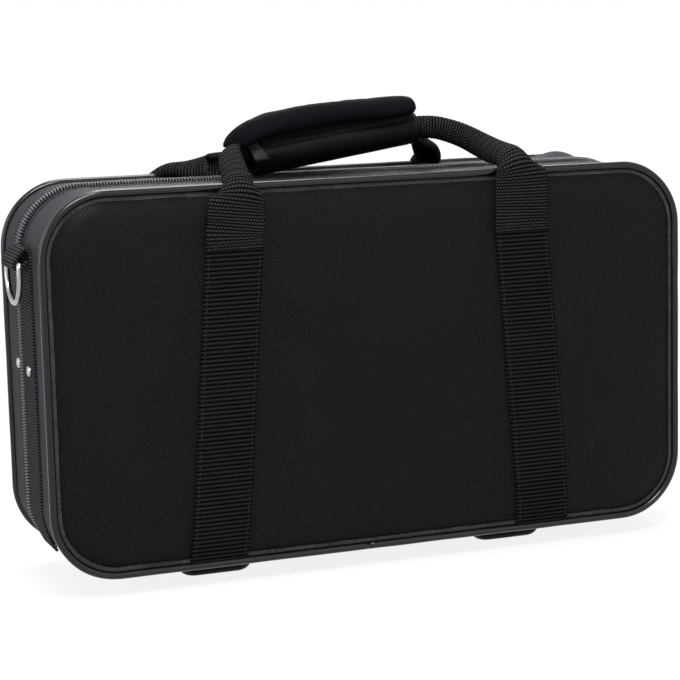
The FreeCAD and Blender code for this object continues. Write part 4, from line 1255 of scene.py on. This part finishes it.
make_front_handle()
make_rear_handle()
for side in (BASE, LID):
    for k, word in enumerate(SIDES):
        bartack(WORD_OF[side] + "_seam_" + word, side, STRAP_LEAN[side][k][1], SEAM_Z - 0.0040, SEAM_Z - 0.0012,
                FREE_Y + STRAP_T / 2 + 0.0001)


# Grip

def round_grip(place, r, angle_deg):
    """Point beside the grip's axis, with its angle from the front over the top."""
    a = math.radians(angle_deg)
    return GRIP_LEFT + GRIP_AXIS * place + Vector((0, -r * math.cos(a), 0)) + GRIP_UP * (r * math.sin(a))


GRIP_SWELL = 0.0013


def swell(place):
    """Extra radius of the padded sleeve, which is thicker towards its left end."""
    return GRIP_SWELL * min(max(1 - place / GRIP_LENGTH, 0), 1)


def tube(name, places, radius_at, count=48):
    """Closed tube round the grip's axis. radius_at takes a place and an angle in degrees."""
    angles = [360 * k / count for k in range(count)]
    rings = [[round_grip(place, radius_at(place, a), a) for a in angles] for place in places]
    vs = [GRIP_R * math.radians(a) for a in angles] + [GRIP_R * 2 * math.pi]
    return skin(name, rings, places, vs, closed_ring=True, caps=True)


HEM_AT = 0.0040
SLEEVE_SEAM_DEG = 33


def make_sleeve():
    """Padded sleeve with a sewn end hem at both ends and a lengthwise seam in front."""
    places = [0.0, 0.0003, 0.0008, 0.0016, 0.0026, 0.0034, 0.004, 0.0046]
    places += steps(0.006, GRIP_LENGTH - 0.006, 0.0018)
    places += [GRIP_LENGTH - p for p in (0.0046, 0.004, 0.0034, 0.0026, 0.0016, 0.0008, 0.0003, 0.0)]

    def radius(place, angle):
        end = min(place, GRIP_LENGTH - place)
        r = GRIP_R - 0.0004 + swell(place)
        r -= 0.0014 * math.exp(-end / 0.0006)
        r -= 0.0007 * hump(end - HEM_AT, 0.0007)
        r += 0.0003 * hump(end - 0.0018, 0.0012)
        seam = (angle - SLEEVE_SEAM_DEG + 180) % 360 - 180
        r -= 0.0006 * hump(seam, 2.2)
        r += 0.0005 * hump(seam - 6, 4.0)
        lumps = noise.noise(Vector((place / 0.02, angle / 60, 3.0))) * 0.00035
        return r + lumps

    obj = tube("grip_sleeve_cloth", places, radius, 72)
    dress(obj, "front_handle", "grip_fabric", None, "grip_sleeve")
    for tag, place in (("left", HEM_AT), ("right", GRIP_LENGTH - HEM_AT)):
        angles = [5 * k for k in range(73)]
        points = [round_grip(place, GRIP_R - 0.0009 + swell(place), a) for a in angles]
        ups = [round_grip(place, 1, a) - round_grip(place, 0, a) for a in angles]
        row = stitch_row("grip_hem_" + tag, points, ups, GRIP_STITCH)
        dress(row, "front_handle", "thread", "grip_fabric")


def make_grip_core():
    """Rolled webbing that fills the sleeve and shows at its ends."""
    places = [0.0008] + steps(0.002, GRIP_LENGTH - 0.002, 0.003) + [GRIP_LENGTH - 0.0008]
    obj = tube("grip_core_web", places, lambda place, angle: 0.0053 + 0.0001 * math.sin(math.radians(angle * 3)), 32)
    dress(obj, "front_handle", "webbing", None, "grip_core")


BAND_PARTS = 34
BAND_WOBBLE = 0.00022


def band_round_grip(name, places, r_in, r_out, angle_from, angle_to, skew=0.0, slant=0.0):
    """Closed strip of cloth lying round part of the grip. skew turns its lower edge towards the left end, and slant
    shifts its upper edge along the grip."""
    rings = []
    angles = steps(angle_from, angle_to, (angle_to - angle_from) / BAND_PARTS)
    for place in places:
        outer = []
        inner = []
        for a in angles:
            end = min(abs(a - angle_from), abs(a - angle_to)) / 6
            side = min(abs(place - places[0]), abs(place - places[-1])) / 0.001
            soft = min(1.0, 0.45 + 0.55 * min(end, 1)) * min(1.0, 0.45 + 0.55 * min(side, 1))
            lump = swell(place) + BAND_WOBBLE * noise.noise(Vector((place / 0.004, a / 14, 1.5)))
            share = (a - angle_from) / (angle_to - angle_from)
            turned = a - skew * (1 - place / GRIP_LENGTH) * (1 - share)
            along = place + slant * share
            outer.append(round_grip(along, r_in + (r_out - r_in) * soft + lump, turned))
            inner.append(round_grip(along, r_in + swell(place), turned))
        rings.append(outer + inner[::-1])
    vs = [GRIP_R * math.radians(a) for a in angles]
    vs = there_and_back(vs, vs[-1], 2 * vs[-1] + 0.002)
    return skin(name, rings, places, vs, closed_ring=True, caps=True)


TAPE_FROM = 36.0
TAPE_TO = 130.0
TAPE_SKEW = 13.0
END_STRIP_DEG = (-8, 84)
END_STRIP_SLANT = -0.0062


def make_loop_tape():
    """Pile tape on the sleeve, sewn along its lower edge, and the paler strip across its left end."""
    places = [0.0042, 0.0046, 0.0052] + steps(0.006, GRIP_LENGTH - 0.006, 0.0016) + [GRIP_LENGTH - 0.0044]
    pile = band_round_grip("loop_tape_pile", places, GRIP_R - 0.0003, GRIP_R + 0.0010, TAPE_FROM, TAPE_TO, TAPE_SKEW)
    dress(pile, "front_handle", "loop_tape", None, "loop_tape")
    run = [(place, TAPE_FROM + 7 - TAPE_SKEW * (1 - place / GRIP_LENGTH))
           for place in steps(0.0075, GRIP_LENGTH - 0.006, 0.004)]
    points = [round_grip(place, GRIP_R + 0.0010 + swell(place), a) for place, a in run]
    ups = [round_grip(place, 1, a) - round_grip(place, 0, a) for place, a in run]
    row = stitch_row("loop_tape_stitches", points, ups, TAPE_STITCH)
    dress(row, "front_handle", "thread", "loop_tape")
    strip = band_round_grip("loop_end_strip", steps(-0.0004, 0.0070, 0.0007), GRIP_R - 0.0004, GRIP_R + 0.0013,
                            *END_STRIP_DEG, slant=END_STRIP_SLANT)
    dress(strip, "front_handle", "loop_strip", "loop_tape")


make_sleeve()
make_grip_core()
make_loop_tape()

LOOP_TAPE_T = 0.001
HOOK_T = 0.0009
FLAP_GAP = 0.0003
FLAP_T = 0.0055
FLAP_BACK = 128.0
FLAP_FRONT = 41.0
FLAP_LIFT = 0.003
# Cloth step: size of its cells, pressure and how far a point may move
FLAP_CELL = 0.0015
FLAP_PRESSURE = 3.0
FLAP_MOST = 0.0010
FLAP_IN_R = GRIP_R + LOOP_TAPE_T + FLAP_GAP + HOOK_T
FLAP_MID_R = FLAP_IN_R + FLAP_T / 2
# Along the grip from its left end: place in shares of the grip, rise in shares of the flap's thickness, and size
FLAP_PLACE_SHARES = (-0.125, -0.10, -0.04, 0.06, 0.18, 0.42, 0.62, 0.86, 0.955, 0.985)
FLAP_RISE_SHARES = (-1.45, -1.02, -0.40, 0.10, 0.36, 0.44, 0.26, -0.16, -0.28, -0.34)
FLAP_SIZE_SHARES = (0.42, 0.78, 1.0, 1.0, 1.0, 1.0, 1.0, 1.0, 0.88, 0.5)


def flap_lift(angle):
    return FLAP_LIFT * max((FLAP_BACK - angle) / (FLAP_BACK - FLAP_FRONT), 0)


def flap_ring(place, rise, size, count=20):
    """Section of the padded flap: round at its fold and at its lip, a little hollow underneath."""
    middle = (FLAP_BACK + FLAP_FRONT) / 2
    reach = (FLAP_BACK - FLAP_FRONT) / 2 * size
    half = FLAP_T / 2 * size
    edge = math.degrees(half / FLAP_MID_R) * 0.8
    ring = []
    for k in range(2 * count):
        t = 2 * math.pi * (k + 0.5) / (2 * count)
        c = math.copysign(abs(math.cos(t)) ** 0.75, math.cos(t))
        s = math.copysign(abs(math.sin(t)) ** 0.5, math.sin(t))
        angle = middle + c * (reach + edge)
        puff = 0.0005 * size * math.cos(math.pi * c / 2)
        r = FLAP_MID_R + swell(place) + s * half + (puff if s > 0 else 0.0)
        ring.append(round_grip(place, r + flap_lift(angle), angle) + GRIP_UP * rise)
    return ring


def make_flap():
    shares = rounded(list(zip(FLAP_PLACE_SHARES, FLAP_RISE_SHARES, FLAP_SIZE_SHARES)), 6)
    rings = [flap_ring(p * GRIP_LENGTH, r * FLAP_T, s) for p, r, s in shares]
    lengths = [p * GRIP_LENGTH for p, r, s in shares]
    round_length = running(rings[len(rings) // 2] + rings[len(rings) // 2][:1])
    obj = skin("grip_flap_pad", rings, lengths, round_length, closed_ring=True, caps=True)
    settle(obj, FLAP_CELL, FLAP_PRESSURE, FLAP_MOST)
    soften(obj, amount=0.0006, size=0.017, seed=6.0)
    soften(obj, amount=0.00025, size=0.005, seed=2.0)
    dress(obj, "grip_flap", "flap_fabric", "grip_fabric", "grip_flap")


def make_hook_tape():
    """Stiff tape under the flap, following its curve."""
    shares = rounded(list(zip(FLAP_PLACE_SHARES, FLAP_RISE_SHARES))[4:8], 6)
    angles = steps(FLAP_BACK - 68, FLAP_BACK - 1, 4.0)
    rings = []
    for p, r in shares:
        place = p * GRIP_LENGTH
        bed = FLAP_IN_R + swell(place)
        outer = [round_grip(place, bed + 0.0001 + flap_lift(a), a) + GRIP_UP * (r * FLAP_T) for a in angles]
        inner = [round_grip(place, bed - HOOK_T + flap_lift(a), a) + GRIP_UP * (r * FLAP_T) for a in angles]
        rings.append(outer + inner[::-1])
    vs = [GRIP_R * math.radians(a) for a in angles]
    vs = there_and_back(vs, vs[-1], 2 * vs[-1] + 0.002)
    obj = skin("hook_tape_strip", rings, [p * GRIP_LENGTH for p, r in shares], vs, closed_ring=True, caps=True)
    dress(obj, "grip_flap", "hook_tape", None, "hook_tape")


make_flap()
make_hook_tape()


# End webbing with its loop round the ring's bar

WEB_LOW, WEB_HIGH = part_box("left_end_webbing")
END_WEB_W = WEB_HIGH.y - WEB_LOW.y
END_WEB_Y = (WEB_HIGH.y + WEB_LOW.y) / 2
END_WEB_T = 0.0014
END_WEB_COLUMNS = 16
RING_LOW, RING_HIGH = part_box("left_d_ring")
BAR_Z = RING_HIGH.z - 0.0015
BAR_X = (RING_HIGH.x + RING_LOW.x) / 2


END_RIB_RISE = 0.00012
END_RIB_PITCH = 0.0016
BAR_R = 0.0018


def end_web_path():
    """Middle of an end strip as x and z: up the wall, out at the top, down round the bar and back to the wall."""
    bar = Vector((abs(BAR_X), 0, BAR_Z))
    wall = HALF_LENGTH + END_WEB_T / 2
    loop_r = BAR_R + END_WEB_T / 2
    path = [(wall - 0.0068, BOTTOM_Z + 0.0105), (wall - 0.0040, BOTTOM_Z + 0.0160)]
    path += [(wall - 0.0014, BOTTOM_Z + 0.0235), (wall, BOTTOM_Z + 0.034)]
    path += [(wall, z) for z in (0.060, 0.090, 0.120, 0.150, 0.168)]
    path += [(wall + 0.0002, 0.1745), (wall + 0.0022, 0.1768), (wall + 0.0050, 0.1752)]
    for angle in (40, 10, -20, -50, -80, -110, -140):
        a = math.radians(angle)
        path.append((bar.x + loop_r * math.cos(a), bar.z + loop_r * math.sin(a)))
    return path + [(wall + 0.0028, BAR_Z - 0.0002), (wall + 0.0017, BAR_Z + 0.0020)]


def make_end_webbing(sign):
    """Strip on an end wall, with its loop round the ring's bar."""
    points = rounded([(sign * x, END_WEB_Y, z) for x, z in end_web_path()], 8)
    at, line, _ = evenly(points, [], 0.0004)
    shares = [k / END_WEB_COLUMNS for k in range(END_WEB_COLUMNS + 1)]
    rings = []
    for i, s in enumerate(at):
        way = Vector(line[min(i + 1, len(line) - 1)] - line[max(i - 1, 0)]).normalized()
        out = way.cross(BACK).normalized() * sign
        rib = END_RIB_RISE * (abs(math.sin(math.pi * s / END_RIB_PITCH)) - 0.6)
        pairs = [(Vector(line[i]) + Vector((0, (share - 0.5) * END_WEB_W, 0)), out) for share in shares]
        rings.append(both_sides(pairs, END_WEB_T / 2 + rib))
    vs = there_and_back([share * END_WEB_W for share in shares], END_WEB_W, 2 * END_WEB_W)
    word = SIDE_OF[sign]
    obj = skin(word + "_end_web", rings, list(at), vs, closed_ring=True, caps=True)
    dress(obj, "base", "strip", "webbing", word + "_end_webbing")


def make_end_stitches(sign):
    """A row along both edges of an end strip and two close rows across it, under its loop."""
    x = sign * (HALF_LENGTH + END_WEB_T)
    lines = []
    for edge in (-1, 1):
        y = END_WEB_Y + edge * (END_WEB_W / 2 - 0.0018)
        lines.append(([Vector((x, y, z)) for z in steps(0.046, 0.150, 0.004)], END_STITCH))
    for z in (0.1545, 0.1575):
        ys = steps(END_WEB_Y - END_WEB_W / 2 + 0.002, END_WEB_Y + END_WEB_W / 2 - 0.002, 0.002)
        lines.append(([Vector((x, y, z)) for y in ys], END_TACK_STITCH))
    rows = [stitch_row("row", line, [Vector((sign, 0, 0))] * len(line), stitch) for line, stitch in lines]
    dress(join(SIDE_OF[sign] + "_end_web_stitches", rows), "base", "thread", "webbing")


for sign in SIDE_OF:
    make_end_webbing(sign)
    make_end_stitches(sign)


# Inside: walls, insert, lid cushion and stay ribbons

LINING_T = 0.0008


def make_lining(side):
    """Plush over the walls and floor, turned over the rim of the half with a narrow binding."""
    word = BODY_OF[side]
    mouth = ZIP_Y + side * (MATING_HALF + 0.0001)
    floor = side * abs(LINING_FACE)
    profile = [(INNER + 0.004, floor), (INNER + 0.0012, floor - side * 0.0004)]
    profile += [(INNER + 0.0002, floor - side * 0.0022)]
    for y in steps(floor - side * 0.005, mouth + side * 0.004, 0.004 if mouth > floor else -0.004):
        profile.append((INNER, y))
    profile += [(INNER - 0.0001, mouth + side * 0.002), (INNER - 0.0005, mouth + side * 0.0006)]
    profile += [(INNER - 0.0012, mouth)]
    profile += [(BAND_T + TAPE_T + 0.0012, mouth), (BAND_T + TAPE_T + 0.0002, mouth + side * 0.0008)]
    profile += [(BAND_T + TAPE_T + 0.0002, mouth + side * 0.006)]
    obj = sweep(word + "_lining_plush", profile, 0.004, closed=False)
    soften(obj, amount=0.0003, size=0.02, seed=4.0)
    ring = case_ring(INNER + 0.004)
    points, faces = fill(ring, [], 0.008, lambda x, z: edge_distance(x, z) > INNER + 0.008)
    floor_mesh = surface(word + "_floor", [], [([(x, floor, z) for x, z in points], faces)])
    whole = join(word + "_lining_cloth", [obj, floor_mesh])
    thicken(whole, LINING_T)
    dress(whole, word, "plush", None, word + "_lining")


POCKET_CORNER_SHARE = 0.35
POCKET_DRAWN_IN = 0.0004
POCKET_ROUND = 0.0025
POCKET_STEP = 0.0025


def pocket_boxes():
    """Each pocket of the insert, from the record's openings: middle, half sizes, corner radius and floor."""
    pockets = []
    for opening in frame["record"]["physics"]["openings"]:
        if not opening["name"].endswith("_pocket"):
            continue
        low, high = opening["box_m"]
        half_z = (high[2] - low[2]) / 2
        turn = 2 * POCKET_CORNER_SHARE
        r = (half_z + POCKET_DRAWN_IN) * turn / (1 - turn * (1 - math.sqrt(0.5)))
        inset = r * (1 - math.sqrt(0.5)) + POCKET_DRAWN_IN
        half_x = (high[0] - low[0]) / 2 + inset
        middle = ((low[0] + high[0]) / 2, (low[2] + high[2]) / 2)
        pockets.append((*middle, half_x, half_z + inset, r, low[1] - POCKET_DRAWN_IN))
    return pockets


def ring_at(ring, y):
    return [(x, y, z) for x, z in ring]


INSERT_EDGE = ((0.0, LINING_FACE + 0.001), (0.0, INSERT_FRONT - 0.0025), (0.0004, INSERT_FRONT - 0.0012),
               (0.0012, INSERT_FRONT - 0.0004), (0.0025, INSERT_FRONT), (0.0040, INSERT_FRONT))


def make_insert():
    """Flocked foam block with a rounded rim round each pocket."""
    top = INSERT_FRONT
    inset = INNER + 0.0002
    outer = [ring_at(case_ring(inset + out, 0.003, 16), y) for out, y in INSERT_EDGE]
    stacks = [outer]
    holes = []
    fills = []
    for x, z, half_x, half_z, r, floor in pocket_boxes():
        rings = []
        shape = []
        for a in (0.0, math.pi / 8, math.pi / 4, 3 * math.pi / 8, math.pi / 2):
            shape.append((-POCKET_ROUND * (1 - math.sin(a)), top - POCKET_ROUND * (1 - math.cos(a))))
        shape += [(0.0, (top + floor) / 2), (0.0, floor + 0.004), (0.0012, floor + 0.0012), (0.004, floor)]
        for grow, y in shape:
            ring = rect_ring(x, z, half_x - grow, half_z - grow, r - grow, POCKET_STEP, 10)
            rings.append(ring_at(ring, y))
        holes.append([(p[0], p[2]) for p in rings[0]])
        stacks.append(rings)
        floor_ring = [(p[0], p[2]) for p in rings[-1]]
        points, faces = fill(floor_ring, [], 0.006, lambda a, b: inside_ring(floor_ring, a, b))
        fills.append((ring_at(points, floor), faces))
    edge = [(p[0], p[2]) for p in outer[-1]]

    def keep(a, b):
        return edge_distance(a, b) > inset + 0.007 and not any(inside_ring(hole, a, b) for hole in holes)

    points, faces = fill(edge, holes, 0.006, keep)
    fills.append((ring_at(points, top), faces))
    obj = surface("foam_insert_flock", stacks, fills)
    dress(obj, "base", "plush", "insert_plush", "foam_insert")


# Both from outside in: inset and depth of the cushion's edge and of the rim of its hole
PAD_EDGE = ((0.0, PAD_BACK - 0.0003), (0.0, PAD_BACK - 0.0030), (0.0002, PAD_BACK - 0.0050),
            (0.0010, PAD_FACE + 0.0034), (0.0026, PAD_FACE + 0.0018), (0.0050, PAD_FACE + 0.0007),
            (0.0080, PAD_FACE + 0.0002))
PAD_HOLE = ((-0.0040, PAD_FACE + 0.0001), (-0.0022, PAD_FACE + 0.0006), (-0.0008, PAD_FACE + 0.0018),
            (-0.0001, PAD_FACE + 0.0036), (0.0, PAD_BACK - 0.0003))


def make_lid_pad():
    """Crowned cushion in the lid, open over the bell."""
    inset = INNER + 0.0005
    stacks = [[ring_at(case_ring(inset + out, 0.003, 16), y) for out, y in PAD_EDGE]]
    x, z, half_x, half_z, r, _ = pocket_boxes()[-1]
    hole_rings = []
    for grow, y in PAD_HOLE:
        hole_rings.append(ring_at(rect_ring(x, z, half_x - grow, half_z - grow, r - grow, 0.003, 12), y))
    stacks.append(hole_rings)
    hole = [(p[0], p[2]) for p in hole_rings[0]]
    edge = [(p[0], p[2]) for p in stacks[0][-1]]

    def keep(a, b):
        return edge_distance(a, b) > inset + 0.011 and not inside_ring(hole, a, b)

    points, faces = fill(edge, [hole], 0.005, keep)
    patch = []
    for a, b in points:
        sag = noise.noise(Vector((a / 0.05, b / 0.05, 7.0))) * 0.0006
        near = min(max((edge_distance(a, b) - inset - 0.008) / 0.02, 0), 1)
        if any(abs(a - p[0]) < 1e-6 and abs(b - p[1]) < 1e-6 for p in hole):
            near = 0
        patch.append((a, PAD_FACE + 0.0002 - sag * near, b))
    obj = surface("lid_pad_plush", stacks, [(patch, faces)], 0.00012)
    dress(obj, "lid", "plush", None, "lid_pad")


def make_stay(sign):
    """Ribbon between the two rivets of an end wall."""
    word = SIDE_OF[sign]
    low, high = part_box(word + "_stay_ribbon")
    mid = (low.z + high.z) / 2
    rings = []
    ys = steps(low.y, high.y, 0.0008)
    for y in ys:
        t = (y - low.y) / (high.y - low.y)
        end = min(t, 1 - t) * (high.y - low.y)
        half = (high.z - low.z) / 2 * min(1.0, 0.55 + end / 0.006)
        zs = [mid + half * k for k in steps(-1, 1, 0.2)]
        rings.append([Vector((high.x, y, z)) for z in zs] + [Vector((low.x, y, z)) for z in zs[::-1]])
    vs = [0.0012 * k for k in range(len(rings[0]) + 1)]
    obj = skin(word + "_stay_web", rings, ys, vs, closed_ring=True, caps=True)
    dress(obj, None, "ribbon", None, word + "_stay_ribbon")
    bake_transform(obj)


for side in (BASE, LID):
    make_lining(side)
make_insert()
make_lid_pad()
for sign in SIDE_OF:
    make_stay(sign)


# CAD nodes that stay, with their own finish

CAD_LOOKS = {
    "foot_rubber": ("base_foot_left", "base_foot_right", "lid_foot_left", "lid_foot_right"),
    "rivet_metal": ("base_foot_rivets", "lid_foot_rivets", "base_stay_rivets", "lid_stay_rivets"),
    "ring_metal": ("left_d_ring", "right_d_ring"),
    "slider_metal": ("zip_slider", "zip_pull"),
    "foam_board": ("base_shell", "lid_shell"),
}
BEVEL = {"slider_metal": 0.0003}

for look, nodes in CAD_LOOKS.items():
    for node in nodes:
        obj = frame["nodes"][node]
        obj.data.materials.clear()
        obj.data.materials.append(MATERIALS[look])
        if look in BEVEL:
            mod = obj.modifiers.new("edge", "BEVEL")
            mod.width = BEVEL[look]
            mod.segments = 3
            mod.limit_method = "ANGLE"


# Floor, light and camera

FLOOR_WHITE = (0.86, 0.86, 0.86)
FLOOR_HALF = 6.0
AMBIENT = 0.24
SHADOW_SHARE = 0.16
FADE_FROM = 0.35
FADE_TO = 1.1


def make_floor():
    """Pale floor that keeps a light shadow near the case and runs out to plain white for the camera."""
    verts = [(-FLOOR_HALF, -FLOOR_HALF, 0), (FLOOR_HALF, -FLOOR_HALF, 0)]
    verts += [(FLOOR_HALF, FLOOR_HALF, 0), (-FLOOR_HALF, FLOOR_HALF, 0)]
    floor = add_object("floor", verts, [(0, 1, 2, 3)], None, False)
    g = Graph("floor", FLOOR_WHITE, 0.9, Specular_IOR_Level=0.0)
    g.finish(g.mix(g.noise(0.25, 3.0), scaled(FLOOR_WHITE, 0.985), scaled(FLOOR_WHITE, 1.015)))
    glow = g.add("ShaderNodeEmission", Strength=1.02)
    away = g.tree.nodes.new("ShaderNodeVectorMath")
    away.operation = "LENGTH"
    g.put(away.inputs[0], g.place())
    share = g.bend(away.outputs["Value"], FADE_FROM, FADE_TO, 1 - SHADOW_SHARE, 1.0)
    path = g.tree.nodes.new("ShaderNodeLightPath")
    seen = g.math("MAXIMUM", path.outputs["Is Camera Ray"], path.outputs["Is Glossy Ray"])
    seen = g.math("MAXIMUM", seen, path.outputs["Is Transmission Ray"])
    both = g.tree.nodes.new("ShaderNodeMixShader")
    g.put(both.inputs[0], g.times(seen, share))
    g.put(both.inputs[1], g.shader.outputs[0])
    g.put(both.inputs[2], glow.outputs[0])
    out = next(n for n in g.tree.nodes if n.type == "OUTPUT_MATERIAL")
    g.put(out.inputs["Surface"], both.outputs[0])
    floor.data.materials.append(g.mat)


def make_world():
    world = bpy.data.worlds.new("studio")
    bpy.context.scene.world = world
    world.use_nodes = True
    tree = world.node_tree
    back = tree.nodes["Background"]
    back.inputs["Color"].default_value = (1, 1, 1, 1)
    path = tree.nodes.new("ShaderNodeLightPath")
    strength = tree.nodes.new("ShaderNodeMapRange")
    seen = path.outputs["Is Camera Ray"]
    for ray in ("Is Glossy Ray", "Is Transmission Ray"):
        either = tree.nodes.new("ShaderNodeMath")
        either.operation = "MAXIMUM"
        tree.links.new(seen, either.inputs[0])
        tree.links.new(path.outputs[ray], either.inputs[1])
        seen = either.outputs[0]
    tree.links.new(seen, strength.inputs["Value"])
    strength.inputs["To Min"].default_value = AMBIENT
    strength.inputs["To Max"].default_value = 1.0
    tree.links.new(strength.outputs[0], back.inputs["Strength"])


# Name, place, what it looks at, width, height and watts
LIGHTS = (
    ("key_light", (-0.30, -0.90, 1.15), (0, 0, 0.15), 0.6, 0.4, 19),
    ("top_light", (0.10, 0.15, 1.30), (0, 0, 0.15), 0.6, 0.5, 15),
    ("front_light", (0.5, -1.6, 0.6), (0, 0, 0.12), 1.0, 1.0, 3),
    ("left_light", (-1.5, -0.2, 0.6), (0, 0, 0.12), 0.8, 1.2, 13),
    ("rear_light", (0.6, 1.6, 0.9), (0, 0, 0.12), 1.0, 1.0, 9),
)


def softbox(name, place, target, size_x, size_y, power):
    data = bpy.data.lights.new(name, "AREA")
    data.shape = "RECTANGLE"
    data.size = size_x
    data.size_y = size_y
    data.energy = power
    obj = link(name, data)
    obj.location = place
    obj.rotation_euler = (Vector(target) - Vector(place)).to_track_quat("-Z", "Y").to_euler()


CAMERA_AT = (-0.4006, -1.0375, 0.2849)
YAW = math.radians(20.877)
PITCH = math.radians(8.702)
ROLL = math.radians(-1.465)
FOCAL_PX = 2092.8
PHOTO_PX = 680
SENSOR_MM = 36.0


def make_camera():
    data = bpy.data.cameras.new("camera")
    data.sensor_width = SENSOR_MM
    data.lens = FOCAL_PX / PHOTO_PX * SENSOR_MM
    data.clip_end = 50
    camera = link("camera", data)
    ahead = Vector((math.sin(YAW) * math.cos(PITCH), math.cos(YAW) * math.cos(PITCH), -math.sin(PITCH)))
    right = Vector((math.cos(YAW), -math.sin(YAW), 0))
    up = right.cross(ahead)
    rolled_right = math.cos(ROLL) * right + math.sin(ROLL) * up
    rolled_up = -math.sin(ROLL) * right + math.cos(ROLL) * up
    turn = Matrix((rolled_right, rolled_up, -ahead)).transposed().to_4x4()
    camera.matrix_world = Matrix.Translation(CAMERA_AT) @ turn
    bpy.context.scene.camera = camera


make_floor()
make_world()
for light in LIGHTS:
    softbox(*light)
make_camera()
bpy.context.scene.view_settings.view_transform = "Standard"
